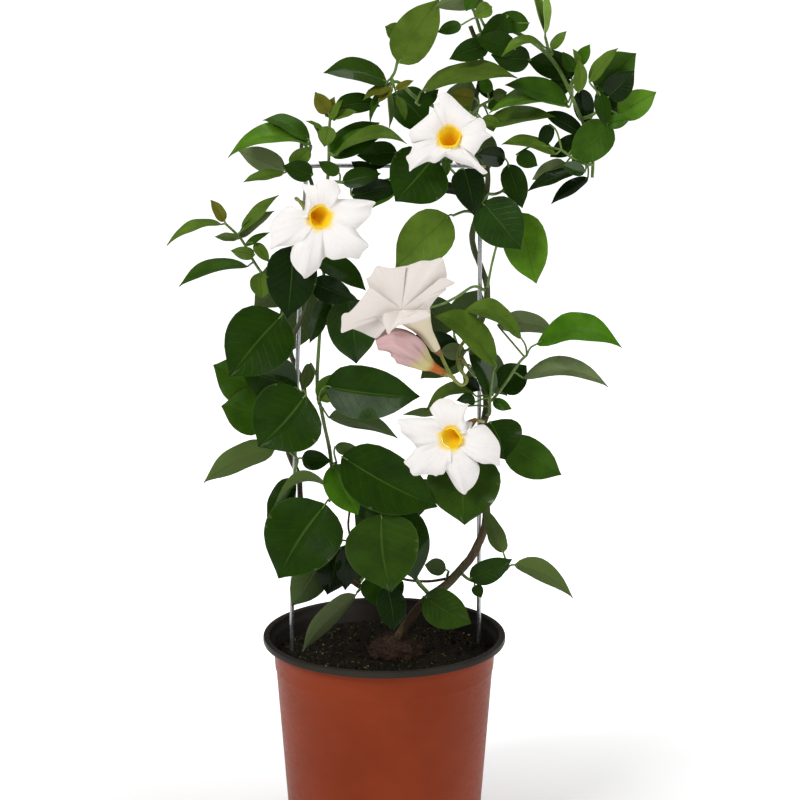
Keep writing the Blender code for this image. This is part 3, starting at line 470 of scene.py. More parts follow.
# %% Hoop
HOOP = table("""-65.9 30 6, -64.7 170 6, -59.2 350 7, -53.3 462 8, -52.2 472 8, -50.2 478.2 8.1,
    -45.5 481 8.5, 5 481 11.9, 58.5 481 15.5, 63.2 478.6 15.9, 65.1 472 16, 65.3 462 16, 65.6 300 18,
    67.0 30 20""")
WIRE_R = 1.5 * MM
LEG_BOTTOM = 0.092


def leg_point(low, high, level):
    a = seen(*low)
    b = seen(*high)
    return a + (b - a) * ((level - a.z) / (b.z - a.z))


hoop_path = [leg_point(HOOP[0], HOOP[1], LEG_BOTTOM)] + [seen(*p) for p in HOOP[1:-1]]
hoop_path.append(leg_point(HOOP[-1], HOOP[-2], LEG_BOTTOM))
hoop_path = smooth_path(hoop_path, 6)
hoop_mesh = swept_mesh("wire_hoop_steel", hoop_path, lambda part: WIRE_R, zinc.material, sides=16)
finished_piece("wire_hoop_steel", hoop_mesh, None, "wire_hoop", "wire")
print("hoop", len(hoop_mesh.polygons), "faces")

# %% [markdown]
# The pot is a thin shell with a rolled lip and a faint step below it, turned about its axis. Screw turns a
# profile into it, and five drainage holes are cut through its floor.

# %% Pot
POT_PROFILE = table("""0 0, 62 0, 64.6 0, 66 0.5, 66.7 1.5, 76.05 125.4, 76.5 126.1, 76.75 127,
    77.5 138.2, 77.9 138.8, 78.1 141.6, 78.9 144.4, 80.2 145.2, 83.8 145.3, 84.7 145.7, 85 146.5,
    85 148.8, 84.7 149.7, 84 150, 81.6 150, 80.8 149.6, 80.4 148.8, 80.1 146.2, 78.5 144.6, 77 142,
    65.6 4, 64.4 2, 62 1.8, 0 1.8""")
HOLES = 5
HOLE_RING = 50 * MM
HOLE_R = 4.5 * MM


def turned_mesh(name, profile, steps):
    mesh = bpy.data.meshes.new(name)
    edges = [(i, i + 1) for i in range(len(profile) - 1)]
    mesh.from_pydata([(r * MM, 0.0, z * MM) for r, z in profile], edges, [])
    carrier = placed(name, mesh)
    spin = carrier.modifiers.new("turn", "SCREW")
    spin.steps = spin.render_steps = steps
    spin.use_merge_vertices = True
    spin.merge_threshold = 0.00001
    made = plain_mesh(carrier)
    face_out(made)
    return made


pot_blank = placed("pot_shell_blank", turned_mesh("pot_shell", POT_PROFILE, 128))
drills = []
for i in range(HOLES):
    turn = 2 * pi * (i + 0.5) / HOLES
    work = bmesh.new()
    bmesh.ops.create_cone(work, cap_ends=True, segments=24, radius1=HOLE_R, radius2=HOLE_R, depth=20 * MM)
    bmesh.ops.translate(work, verts=work.verts, vec=Vector((HOLE_RING * cos(turn), HOLE_RING * sin(turn), 0)))
    drills.append(placed("drill", bpy.data.meshes.new("drill")))
    work.to_mesh(drills[-1].data)
    work.free()
    cut = pot_blank.modifiers.new("hole", "BOOLEAN")
    cut.operation = "DIFFERENCE"
    cut.solver = "EXACT"
    cut.object = drills[-1]
pot_mesh = plain_mesh(pot_blank)
for drill in drills:
    bpy.data.objects.remove(drill)
finished_piece("pot_shell", pot_mesh, [pot_plastic.material], "pot", "pot")
pot_mesh.set_sharp_from_angle(angle=radians(40))
print("pot", len(pot_mesh.polygons), "faces")

# %% [markdown]
# Soil is a rough plug with crumbs lying on it. The plug is turned and roughened with noise. A Geometry
# Nodes tree scatters crumbs of three sizes over its top, with a fixed seed, and stores a random shade for
# each one.

# %% Soil
SOIL_TOP = 135.0
SOIL_PROFILE = ([(0.0, 2.2), (64.7, 2.2), (75.3, 133.6)] + [(75.3 - 2.2 * k, SOIL_TOP) for k in range(1, 34)]
                + [(0, SOIL_TOP)])
# Crumbs a square metre and their size, one pair for each layer. A layer also lies on the crumbs below it.
CRUMBS = ((90000.0, 0.0010), (5000.0, 0.0017), (5000.0 / 6, 0.0028))
FIRST_SEED = 7
SOIL_SKIN = 0.1345
soil_mesh = turned_mesh("soil_plug", SOIL_PROFILE, 120)
for vert in soil_mesh.vertices:
    if vert.co.z > SOIL_SKIN:
        at = vert.co.copy()
        rough = noise.noise(at * 90) * 1.1 + noise.noise(at * 260) * 0.9 + noise.noise(at * 30) * 1.4
        vert.co.z += rough * MM * 0.8 + 0.0004

crumb_tree, crumb_keys = node_tree(
    "scatter crumbs",
    {"Crumbs a square metre": "Float", "Crumb size": "Float", "Seed": "Int", "Material": "Material"},
    """normal GeometryNodeInputNormal, split ShaderNodeSeparateXYZ, upward FunctionNodeCompare,
    spread GeometryNodeDistributePointsOnFaces, crumb GeometryNodeMeshIcoSphere,
    lumpy ShaderNodeTexNoise, shift ShaderNodeVectorMath, shrink ShaderNodeVectorMath,
    ragged GeometryNodeSetPosition, turn FunctionNodeRandomValue, stretch FunctionNodeRandomValue,
    shade FunctionNodeRandomValue, put GeometryNodeInstanceOnPoints,
    store GeometryNodeStoreNamedAttribute, join GeometryNodeJoinGeometry""",
    {"upward.data_type": "FLOAT", "upward.operation": "GREATER_THAN", "shift.operation": "SUBTRACT",
     "shrink.operation": "SCALE", "turn.data_type": "FLOAT_VECTOR", "stretch.data_type": "FLOAT_VECTOR",
     "store.domain": "INSTANCE"},
    {"upward.1": 0.6, "crumb.Subdivisions": 1, "lumpy.Scale": 900.0, "shift.1": (0.5, 0.5, 0.5),
     "turn.Max": (6.28, 6.28, 6.28), "stretch.Min": (0.35, 0.35, 0.25), "stretch.Max": (1.5, 1.2, 0.8),
     "store.Name": "crumb_shade"},
    """normal.0 > split.0, split.Z > upward.0, start.Geometry > spread.Mesh,
    upward.0 > spread.Selection, start.Crumbs a square metre > spread.Density,
    start.Seed > spread.Seed, start.Crumb size > crumb.Radius, crumb.Mesh > ragged.Geometry,
    lumpy.Color > shift.0, shift.0 > shrink.0, start.Crumb size > shrink.Scale,
    shrink.0 > ragged.Offset, spread.Points > put.Points, ragged.Geometry > put.Instance,
    turn.0 > put.Rotation, stretch.0 > put.Scale, put.Instances > store.Geometry,
    shade.1 > store.Value, store.Geometry > real.Geometry, start.Geometry > join.Geometry,
    real.Geometry > join.Geometry, join.Geometry > paint.Geometry""")
crumb_layers = [(density, size, FIRST_SEED + layer, peat.material)
                for layer, (density, size) in enumerate(CRUMBS)]
soil_done = grown("soil_blank", soil_mesh, crumb_tree, crumb_keys, *crumb_layers)
finished_piece("soil_with_crumbs", soil_done, None, "soil", "soil", smooth=False)
print("soil", len(soil_done.polygons), "faces")

# %% [markdown]
# The vines follow the same lists as the solids. A twining stretch winds round a leg of the hoop, and above
# the top bar round a line that carries the legs on. Each vine starts on the skin of the one it grows from.

# %% Vines
# Parent, radius at the start and at the end, finish, and the path as seen. A twining stretch is the word
# "twine", the side, the heights where it begins and ends, the turn at the start in degrees and the
# millimetres a turn.
VINES = {
    "main_vine": (None, 3.3, 1.5, "bark", """9 146 -6, 17 159 -8, 26 171 -6, 35 179 -2, 44 186 4,
        53 196 9, 61 206 13, twine right 217 540 -95 78, 66 552 8, 58 575 5"""),
    "left_vine": ("main_vine", 2.1, 1.3, "bark", """18 160 -8, 8 170 8, -12 181 14, -38 202 16,
        -56 235 12, twine left 262 500 60 70"""),
    "inner_vine": ("main_vine", 1.6, 1.1, "green_stem", """26 171 -6, 21 192 -2, 13 216 2, 4 243 -2,
        -12 256 -4, -33 262 -2, -38 285 -3, -43 310 -4, -46 330 -4, -44 365 -3, -42 395 -2, -39 430 0,
        -38 470 0"""),
    "low_cross_vine": ("main_vine", 1.1, 0.8, "bark", """52 194 9, 44 190 14, 30 188 20, 12 190 24,
        -10 200 26, -24 222 22, -24 240 18"""),
    "front_tendril": ("main_vine", 1.1, 0.8, "green_stem", """65 400 14, 61 398 5, 50 391 -6,
        40 386 -14, 30 383 -20"""),
    "right_tendril": ("main_vine", 1.0, 0.8, "green_stem", """67 396 14, 71 399 9, 73 411 6, 76 424 0,
        79 434 -4, 80 448 -6"""),
    "top_vine": ("main_vine", 1.5, 1.0, "green_stem", """62 500 14, 48 510 4, 36 520 1, 22 527 0,
        9 538 1, -2 532 1, -18 524 2, -34 512 1"""),
    "hanging_vine": ("main_vine", 1.6, 1.1, "green_stem", """60 570 8, 78 574 8, 94 568 7, 110 556 6,
        121 540 5, 129 522 4, 137 503 2, 141 488 0, 141 473 -2"""),
}
# The line that the vines twine about: the legs of the hoop, carried on above its top bar.
TWINE_R = 5.4
VINE_SWELL = 0.42
GUIDE = table("""-65.9 30 6, -64.7 170 6, -59.2 350 7, -52.4 478 8, -47.5 520 9, -38 558 9, -24 588 10,
    -6 606 10, 12 611 11, 30 605 12, 46 588 13, 57 562 14, 63 526 15, 65.2 480 16, 65.6 300 18,
    67 30 20""")
SIDES_OF_GUIDE = {"left": GUIDE[:8], "right": GUIDE[:7:-1]}


def wire_at(side, level):
    """The line that the vines twine about, at a height as seen, on its right or its left side."""
    points = SIDES_OF_GUIDE[side]
    for low, high in zip(points, points[1:]):
        if low[1] <= level <= high[1]:
            part = (level - low[1]) / (high[1] - low[1])
            return seen(low[0] + (high[0] - low[0]) * part, level, low[2] + (high[2] - low[2]) * part)
    return seen(points[-1][0], level, points[-1][2])


def vine_path(steps):
    path = []
    for step in steps:
        if step[0] == "twine":
            _, side, low, high, turn, pitch = step
            count = int((high - low) / pitch * 6) + 1
            for i in range(count + 1):
                level = low + (high - low) * i / count
                angle = radians(turn + 360 * (level - low) / pitch)
                path.append(wire_at(side, level) + Vector((cos(angle), sin(angle), 0)) * TWINE_R * MM)
        else:
            path.append(seen(*step))
    return path


def nearest_on(path, point):
    """The place on a path that is nearest to a point, and how far along the path it is."""
    best = None
    for i, (a, b) in enumerate(zip(path, path[1:])):
        part = max(0.0, min(1.0, (point - a).dot(b - a) / (b - a).length_squared))
        place = a + (b - a) * part
        away = (point - place).length
        if best is None or away < best[0]:
            best = (away, place, (i + part) / (len(path) - 1))
    return best[1:]


def branch_start(parent, point):
    """The place on a parent's skin where a branch towards the point starts."""
    path, start_r, end_r = built_vines[parent]
    place, part = nearest_on(path, point)
    return place + (point - place).normalized() * ((start_r + (end_r - start_r) * part) * MM + GAP)


built_vines = {}
for name, (parent, start_r, end_r, look, steps) in VINES.items():
    path = vine_path(table(steps))
    if parent:
        path[0] = branch_start(parent, path[1])
    built_vines[name] = (path, start_r, end_r)
    mesh = swept_mesh(name + "_stem", smooth_path(path, 5),
                      lambda part, a=start_r, b=end_r: (a + (b - a) * part) * MM,
                      (bark if look == "bark" else green).material, start_r * VINE_SWELL * MM)
    finished_piece(name + "_stem", mesh, None, name, look)
print(len(built_vines), "vines")

# %% [markdown]
# The foot of the plant is a lump of brown root fibre. Its body is a lumpy dome, and short fibres stand on
# it, laid by Geometry Nodes in every direction.

# %% Crown fibres
crown = Finish("crown_fibre", Roughness=0.9)
strands = crown.grain(700.0, 6.0, 0.7)
crown.into("Base Color", crown.blend(strands.ramp(0.35, 0.65), (0.010, 0.006, 0.004), (0.095, 0.042, 0.017)))
crown.weather(strands, 0.75, 0.98, 0.0012)

dome = bmesh.new()
bmesh.ops.create_icosphere(dome, subdivisions=5, radius=1.0)
for vert in dome.verts:
    at = vert.co.copy()
    swell = 1.0 + 0.16 * noise.noise(at * 2.3) + 0.08 * noise.noise(at * 6.0) + 0.05 * noise.noise(at * 15.0)
    vert.co = Vector((8.0 + at.x * 17.5 * swell, -4.0 + at.y * 13.0 * swell,
                      138.5 + at.z * 10.0 * swell)) * MM
    vert.co.z = max(vert.co.z, SOIL_SKIN)
dome_mesh = bpy.data.meshes.new("crown_dome")
dome.to_mesh(dome_mesh)
dome.free()
face_out(dome_mesh)

fibre_tree, fibre_keys = node_tree(
    "lay fibres", {"Fibres a square metre": "Float", "Fibre length": "Float", "Material": "Material"},
    """spread GeometryNodeDistributePointsOnFaces, strand GeometryNodeMeshCone,
    turn FunctionNodeRandomValue, put GeometryNodeInstanceOnPoints, join GeometryNodeJoinGeometry""",
    {"turn.data_type": "FLOAT_VECTOR"},
    {"spread.Seed": 4, "strand.Vertices": 4, "strand.Radius Top": 0.00006, "strand.Radius Bottom": 0.00022,
     "turn.Max": (3.1, 3.1, 6.28)},
    """start.Geometry > spread.Mesh, start.Fibres a square metre > spread.Density,
    start.Fibre length > strand.Depth, spread.Points > put.Points, strand.Mesh > put.Instance,
    turn.0 > put.Rotation, put.Instances > real.Geometry, start.Geometry > join.Geometry,
    real.Geometry > join.Geometry, join.Geometry > paint.Geometry""")
crown_mesh = grown("crown_blank", dome_mesh, fibre_tree, fibre_keys, (700000.0, 0.005, crown.material))
finished_piece("crown_fibres", crown_mesh, None, None, "bark")
print("crown", len(crown_mesh.polygons), "faces")

# %% [markdown]
# Leaves are the plant's main shape. Each is given by its base, tip and width as seen, and `leaf_frame`
# works out how it is turned: a leaf that looks narrow is a normal leaf seen edge-on. A list of sprays keeps
# the pairs that grow on one side shoot together.

# %% Where the leaves are
# A spray is its name and its parent vine, then the path of its side shoot, then its leaves. A leaf is its
# base and its tip (across, up), its width as seen, the depth of its base, the change of depth to its tip
# and its tone. A leaf whose middle rides above the straight line, or whose underside is seen, has "f" for
# the upper face or "u" for the underside after that, and how far its middle rides.
SPRAYS = """
left_tip left_vine / -62 392 0, -63 394 -3, -72 398 -6, -82 406 -8, -90 418 -10, -97 431 -11, -107 441 -12 /
    -110 441 -148 428 7 -12 -10 light f 4, -93 412 -140 400 10 -9 -14 mid f 4,
    -108 443 -117 458 8 -12 -3 bronze, -96 437 -72 462 8 -11 6 olive, -98 432 -75 451 8 -7 8 olive u 0,
    -99 431 -115 433 6 -14 -5 olive u 0, -88 420 -104 423 9 -13 -8 olive, -94 426 -78 436 5 -14 3 mid,
    -88 428 -78 415 8 -15 -3 light, -84 410 -83 389 15 -10 -3 olive;
left_large left_vine / -58 436 -4, -60 430 -10, -62 410 -13, -66 384 -15 /
    -62 426 -66 376 34 -22 -12 deep, -70 378 -106 335 46 -20 -18 dark;
left_middle inner_vine / -41 410 -2, -38 402 -7, -30 394 -8 /
    -44 416 -12 396 16 -4 -8 dark f 2, -49 401 -20 389 18 -13 -5 deep, -25 390 -19 344 34 -9 -6 gloss,
    -40 392 -50 358 12 -10 0 dark;
left_low left_vine / -60 300 0, -58 308 -8, -57 320 -14, -60 328 -14 /
    -54 322 -87 285 50 -28 -10 dark, -60 327 -98 338 32 -17 -6 gloss, -82 327 -117 343 34 -8 -6 mid,
    -80 306 -112 314 32 -14 -6 mid;
left_spear left_vine / -62 283 0, -67 284 -5, -74 284 -7 /
    -74 284 -126 261 18 -8 -14 olive u 2, -71 285 -86 289 7 -9 -6 bright, -66 285 -56 288 6 -8 -3 mid;
inner_front inner_vine / -44 318 -4, -45 316 -9, -42 312 -12 /
    -40 328 24 321 36 -14 -20 dark, -46 320 -24 335 17 -8 -2 light, -38 306 10 293 13 -12 -10 dark u 2,
    -50 344 -56 325 9 -3 3 olive u 0;
knuckle left_vine / -62 272 0, -60 276 -5, -62 268 -8 /
    -57 277 -37 275 14 -8 -6 dark, -63 262 -82 235 15 -9 -8 dark;
heart inner_vine / -36 262 -2, -37 252 -8, -38 246 -12 /
    -41 244 -74 190 53 -22 -14 dark, -38 255 -80 236 7 -17 -8 olive u 15;
bright_leaf inner_vine / -34 266 -2, -35 270 -8, -33 274 -12 /
    -36 272 -18 236 23 -14 -16 bright, -34 285 -17 283 9 -12 -4 olive u 0;
wide_leaf inner_vine / -12 256 -4, -18 266 -12, -28 276 -16 /
    -29 278 37 242 42 -18 -12 dark, -5 250 -20 228 17 -20 -6 gloss;
round_leaf inner_vine / 4 243 -2, 4 242 -10, 3 239 -18 /
    -2 237 5 180 50 -28 -16 round, 7 243 22 188 32 -14 -6 gloss;
low_left left_vine / -38 202 16, -38 206 8, -36 210 4 /
    -43 207 -65 170 25 -3 -8 dark u 0, -33 212 -40 178 24 -4 -6 deep, -24 216 -27 181 16 -12 -4 deep;
pot_leaf left_vine / -2 176 12, -6 182 4, -14 184 -4, -19 180 -10 /
    -20 178 -59 138 14 -14 -16 grey u 0, 0 194 0 167 30 -10 -8 dark, 2 184 7 151 20 -20 -8 deep;
rim_leaf main_vine / 26 171 -6, 27 174 -14 /
    28 177 61 157 26 -16 -10 round;
low_twig low_cross_vine / 40 189 16, 44 192 10, 45 195 6 /
    45 196 28 200 12 6 -4 dark u 0;
right_low main_vine / 54 196 9, 60 189 1, 70 187 -3, 80 193 -4, 86 197 -5 /
    60 190 89 204 17 -4 -8 dark, 91 200 133 177 14 -7 -12 olive u 5, 83 209 70 243 12 -5 10 olive u -3,
    63 185 68 176 8 -4 -4 dark;
right_heart main_vine / 70 291 14, 71 290 6, 69 288 -4, 63 285 -11 /
    58 280 56 229 50 -14 -14 round, 73 303 84 276 34 -4 -8 dark, 84 288 123 265 27 3 -6 mid;
right_fan main_vine / 71 314 14, 75 319 8, 84 331 2, 93 345 0, 98 350 -1 /
    105 358 163 357 20 -4 -12 vivid f 10, 96 334 154 330 14 2 -14 grey f 8, 78 371 118 366 15 12 4 grey u 4,
    94 362 54 381 14 0 -8 light f 8, 80 325 98 343 22 12 8 dark, 75 318 88 312 8 4 -6 bright;
right_arch main_vine / 70 306 12, 73 309 5, 73 320 -3, 75 339 -8 /
    77 343 36 378 19 -12 -10 light f 8, 75 322 59 351 14 -1 -2 gloss f 3, 64 321 28 311 9 -2 -10 olive f 9,
    63 317 50 318 8 -6 -6 dark f 2, 38 308 13 309 6 -4 -5 olive u 0;
flower_back main_vine / 62 356 14, 58 354 6, 54 353 2 /
    53 352 6 349 27 5 -4 deep f 2, 56 352 38 353 12 0 -6 grey u 0, 55 333 66 325 10 4 0 deep;
right_hanging_leaf main_vine / 71 462 12, 76 462 5, 82 466 2, 84 478 1 /
    67 456 93 424 33 -6 -14 gloss, 91 449 104 400 30 3 -10 green, 84 482 94 452 17 -3 -4 dark,
    82 486 63 489 14 -4 -8 deep;
right_inner_leaf main_vine / 61 462 14, 55 468 2, 48 476 -4, 40 484 -10 /
    34 487 8 457 42 -18 -12 dark, 54 479 62 446 22 -4 -6 deep f 4, 42 486 42 473 6 -12 -3 mid,
    56 463 32 467 8 2 -2 deep;
pale_leaf main_vine / 60 450 14, 55 450 4, 47 447 -2 /
    44 447 8 411 34 -4 -8 light;
left_arch left_vine / -52 484 4, -50 490 -6, -52 484 -14, -60 478 -16 /
    -49 495 -105 489 13 -10 -14 green f 9, -50 498 -81 513 11 -8 4 mid f 4,
    -67 478 -98 492 16 -14 8 grey u 0, -68 476 -95 471 7 -17 -8 olive, -62 480 -50 494 12 -16 -4 light,
    -48 475 -68 481 14 -20 -4 dark;
left_crown inner_vine / -38 474 0, -37 486 -5, -37 500 -6, -36 514 -7 /
    -36 515 -46 531 11 -8 -3 bronze, -37 508 -40 494 12 -9 -5 olive, -33 520 -2 522 14 -6 3 dark f 2,
    -35 488 2 506 15 -9 -6 bright, -33 488 15 498 9 -16 -10 light f 8, -40 505 -52 512 3 -8 -2 light,
    -36 489 -3 511 18 -2 3 mid, -36 512 -28 526 5 -10 -3 light, -34 514 -18 518 6 -11 -4 light,
    -39 515 -33 528 7 -4 0 bronze, -41 500 -48 512 4 -9 -2 light;
bar_leaf inner_vine / -38 470 0, -30 470 -6, -14 468 -8, 4 472 -7 /
    9 490 -18 488 16 -4 -6 dark, -28 470 -2 476 13 -12 -3 dark, -22 461 11 468 17 -9 0 deep,
    8 463 -8 453 5 -9 -5 bright, -4 472 -22 484 11 -2 2 dark, -30 476 -44 484 9 -8 -3 mid,
    -8 480 4 492 10 2 2 deep;
upright_leaf top_vine / 8 537 1, 5 540 -5, 8 546 -8, 11 562 -6 /
    9 549 37 593 28 -9 -4 matte, 2 538 -40 545 16 -8 -8 round f 3, 13 570 1 575 12 -5 0 olive,
    1 536 -14 526 5 -10 -4 light, 2 536 5 507 4 -9 -4 light, 0 534 -10 511 5 -8 -4 mid,
    4 533 -12 529 5 -14 -4 bronze, 8 533 20 539 5 -14 -3 bronze, 9 528 15 512 6 -12 -3 light,
    6 534 -4 524 6 -15 -3 bronze;
long_leaf top_vine / 24 526 0, 22 524 -6, 24 529 -9 /
    26 532 89 543 14 -10 -12 matte f 4, 24 522 37 533 9 -8 4 dark;
top_knot top_vine / 52 508 6, 58 514 -2, 64 521 -4, 71 525 -4 /
    61 527 45 530 12 -6 -3 bronze, 58 518 49 529 9 -3 4 olive, 70 530 68 542 9 -4 0 bright,
    72 526 83 531 9 -5 -3 olive u 0, 70 520 83 526 8 -2 3 mid, 69 509 115 516 12 -4 -8 light f 2,
    70 516 74 504 9 -2 2 mid, 74 528 62 536 8 2 2 dark, 66 513 80 508 8 -6 -4 light;
top_leaf hanging_vine / 70 573 8, 70 570 0, 66 578 -6, 62 586 -8 /
    66 592 34 588 15 -9 -3 grey u 3, 60 598 55 585 9 -11 -3 mid, 72 588 61 582 11 -12 -4 light,
    83 582 64 561 16 -5 -6 dark, 97 577 70 573 15 -1 0 mid f 2, 70 562 44 553 15 -7 -5 dark f 2,
    88 560 62 567 16 -9 -4 dark, 98 553 72 556 18 -6 -6 dark, 52 576 36 571 9 -3 2 mid;
new_shoot hanging_vine / 110 556 6, 110 560 0, 108 568 -3 /
    108 570 95 611 6 -4 2 young f 2, 108 570 107 602 5 -5 -2 young, 113 556 79 556 6 -8 -14 light f 9,
    112 560 122 572 7 -3 -2 light;
hanging_top hanging_vine / 124 534 5, 126 536 -2, 130 546 -4 /
    130 549 138 563 9 -4 -2 bright, 131 531 131 553 9 -9 -4 light, 124 524 82 537 15 -5 -8 mid f 2,
    125 521 71 519 11 -8 -12 green f 6, 126 540 112 560 14 14 4 dark, 128 546 96 552 19 9 3 dark,
    128 545 120 558 9 3 -2 mid, 133 533 137 507 14 9 2 deep, 132 548 127 560 5 -6 -3 light,
    126 538 104 529 13 10 3 dark;
hanging_side hanging_vine / 134 512 3, 141 516 -2, 146 522 -3, 143 532 -3 /
    142 534 169 557 26 -2 -2 mid, 138 538 156 561 9 -8 -4 olive, 158 516 183 531 19 -3 -5 green,
    150 527 168 545 18 -6 -5 deep, 145 530 150 508 11 -9 -5 dark, 152 510 127 482 25 -6 -8 mid,
    150 510 166 513 10 -9 -6 bright, 146 534 155 510 15 8 3 deep, 144 536 148 556 12 6 3 dark,
    140 512 146 503 10 4 2 dark;
hanging_low hanging_vine / 141 480 -1, 137 482 -9, 128 486 -12, 120 492 -12 /
    134 503 107 518 11 -5 -2 deep, 112 509 106 493 10 -8 -3 deep, 116 489 80 497 9 -14 -6 light f 3,
    90 489 104 481 12 -16 -2 dark, 123 483 100 472 12 -9 -4 grey u 0, 136 477 119 482 9 -14 -6 gloss,
    130 478 97 465 9 -15 -8 deep, 138 473 113 456 9 -11 -7 deep, 133 500 112 487 13 0 2 dark,
    138 482 130 496 9 -6 -2 dark;
summit hanging_vine / 66 572 8, 58 590 8, 44 608 7, 26 622 6, 8 632 6 /
    46 610 66 632 22 2 -8 mid, 28 624 40 652 20 4 4 dark, 10 634 -18 648 18 2 -10 green f 3,
    12 628 -12 612 22 0 -16 dark f 2, 40 612 24 600 18 0 -12 mid, 56 596 86 606 20 6 4 dark f 4,
    26 622 2 630 14 14 30 mid, 48 606 60 622 18 16 30 dark;
back_left left_vine / -58 420 10, -60 416 22, -52 404 32, -44 388 36 /
    -62 410 -88 384 30 30 24 dark u 0, -48 396 -66 352 30 38 18 dark u 0, -40 388 -14 368 28 40 22 mid u 0,
    -50 414 -26 440 28 32 22 dark u 0;
back_low left_vine / -12 181 14, -12 196 28, -8 214 38, 2 232 42 /
    -14 202 -44 190 28 34 20 dark u 4, -2 222 26 206 26 42 22 mid u 4, 2 236 -22 258 28 44 14 dark u 0,
    6 238 32 262 26 46 12 dark u 0;
back_right main_vine / 66 330 24, 62 336 38, 54 348 46, 48 364 48 /
    60 342 84 322 28 48 20 dark u 4, 52 350 26 334 28 50 20 mid u 4, 47 368 24 392 26 50 10 dark u 0,
    50 370 66 396 26 50 12 dark u 0;
back_top main_vine / 66 512 22, 58 508 34, 44 508 40, 30 504 42 /
    58 502 68 474 28 40 14 dark u 0, 40 502 28 468 28 44 14 dark u 0, 28 509 3 529 27 45 12 dark f 3,
    46 512 58 540 26 42 12 dark u 0"""
print(SPRAYS.count(";") + 1, "sprays")

# %% [markdown]
# A blade is a grid with a smooth outline: widest near a third of its length, with a drawn-out tip. It is
# cupped along the midrib, its margin waves a little and its tip hangs. A second skin just below it makes a
# thin closed leaf, and the two meet at the margin.

# %% Building a leaf
TONES = {name: colour for name, *colour in table("""dark 0.0155 0.045 0.002, deep 0.0085 0.024 0.003,
    mid 0.042 0.105 0.007, green 0.1 0.23 0.013, bright 0.048 0.135 0.005, vivid 0.064 0.185 0.006,
    light 0.11 0.195 0.02, olive 0.105 0.185 0.022, gloss 0.02 0.055 0.006, grey 0.178 0.23 0.094,
    matte 0.092 0.155 0.015, bronze 0.15 0.15 0.012, young 0.25 0.42 0.035,
    round 0.028 0.065 0.0045""")}
SHEEN = {"gloss": 1.0, "round": 0.6, "deep": 0.5, "grey": -0.5, "matte": -0.8}
OUTLINE = table("""0 0.08, 0.025 0.34, 0.07 0.58, 0.15 0.82, 0.26 0.97, 0.38 1.02, 0.51 0.99,
    0.64 0.88, 0.76 0.68, 0.85 0.44, 0.92 0.22, 0.965 0.09, 1 0.012""")
NATURAL_RATIO = 0.50
LARGE_LEAF = 0.026
BLADE_THICK = 0.45 * MM
WELD = 0.000002
PLAIN = (1, 1, 1, 0)


def reading(rows, at):
    """The value of a table of pairs at a place between its rows."""
    for (a, low), (b, high) in zip(rows, rows[1:]):
        if at <= b:
            return low + (high - low) * ((at - a) / (b - a))
    return rows[-1][1]


def round_ways(first, second, sides):
    """Directions all round, from two that are square to each other. The last one is the first again."""
    return [first * cos(2 * pi * k / sides) + second * sin(2 * pi * k / sides) for k in range(sides + 1)]


class Skin:
    """Collects points and faces, with a UV place, a tone, an underside mark and a material for each face."""

    def __init__(self):
        self.points, self.faces, self.places, self.looks, self.slots = [], [], [], [], []

    def grid(self, rows, places, look, under=0.0, slot=0, flip=False):
        start = len(self.points)
        wide = len(rows[0])
        for row in rows:
            self.points += row
        for i in range(len(rows) - 1):
            for j in range(wide - 1):
                a = start + i * wide + j
                face = [a, a + 1, a + wide + 1, a + wide]
                uv = [places[i][j], places[i][j + 1], places[i + 1][j + 1], places[i + 1][j]]
                if flip:
                    face.reverse()
                    uv.reverse()
                self.faces.append(face)
                self.places += uv
                self.looks.append((*look, under))
                self.slots.append(slot)

    def sheet(self, steps, line, look, under):
        """Two skins, one on each side. `line` gives a row of places, half thicknesses and UV places."""
        rows = [list(line(i / steps)) for i in range(steps + 1)]
        top = [[place + thick for place, thick, _ in row] for row in rows]
        low = [[place - thick for place, thick, _ in row] for row in rows]
        places = [[uv for _, _, uv in row] for row in rows]
        self.grid(top, places, look)
        self.grid(low, places, look, under, flip=True)
        return top, low

    def rod(self, path, start_r, end_r, sides, slot, look=(0.1, 0.2, 0.03, 0.0)):
        """A closed round rod along a path, whose rings do not twist."""
        rows = [[path[0]] * (sides + 1)]
        side_way = None
        for i, point in enumerate(path):
            way = (path[min(i + 1, len(path) - 1)] - path[max(i - 1, 0)]).normalized()
            side_way = side_way or way.orthogonal().normalized()
            side_way = (side_way - way * side_way.dot(way)).normalized()
            girth = start_r + (end_r - start_r) * i / (len(path) - 1)
            rows.append([point + out * girth for out in round_ways(side_way, way.cross(side_way), sides)])
        rows.append([path[-1]] * (sides + 1))
        places = [[(i / (len(rows) - 1), k / sides) for k in range(sides + 1)] for i in range(len(rows))]
        self.grid(rows, places, look, 0.0, slot)

    def finish(self, name, materials, node, slot):
        """Makes the piece and returns its count of faces."""
        made = bpy.data.meshes.new(name)
        made.from_pydata([tuple(p) for p in self.points], [], self.faces)
        layer = made.uv_layers.new(name="leaf_map")
        layer.data.foreach_set("uv", [value for place in self.places for value in place])
        columns = (("tone", "FLOAT_VECTOR", "vector", [value for look in self.looks for value in look[:3]]),
                   ("sheen", "FLOAT", "value", [look[3] for look in self.looks]),
                   ("under", "FLOAT", "value", [look[4] for look in self.looks]),
                   ("ripe", "FLOAT", "value", [max(0.0, look[3]) for look in self.looks]))
        for title, kind, field, values in columns:
            made.attributes.new(title, kind, "FACE")
            made.attributes[title].data.foreach_set(field, values)
        made.polygons.foreach_set("material_index", self.slots)
        work = bmesh.new()
        work.from_mesh(made)
        bmesh.ops.remove_doubles(work, verts=work.verts, dist=WELD)
        work.to_mesh(made)
        work.free()
        face_out(made)
        finished_piece(name, made, materials, node, slot)
        return len(made.polygons)


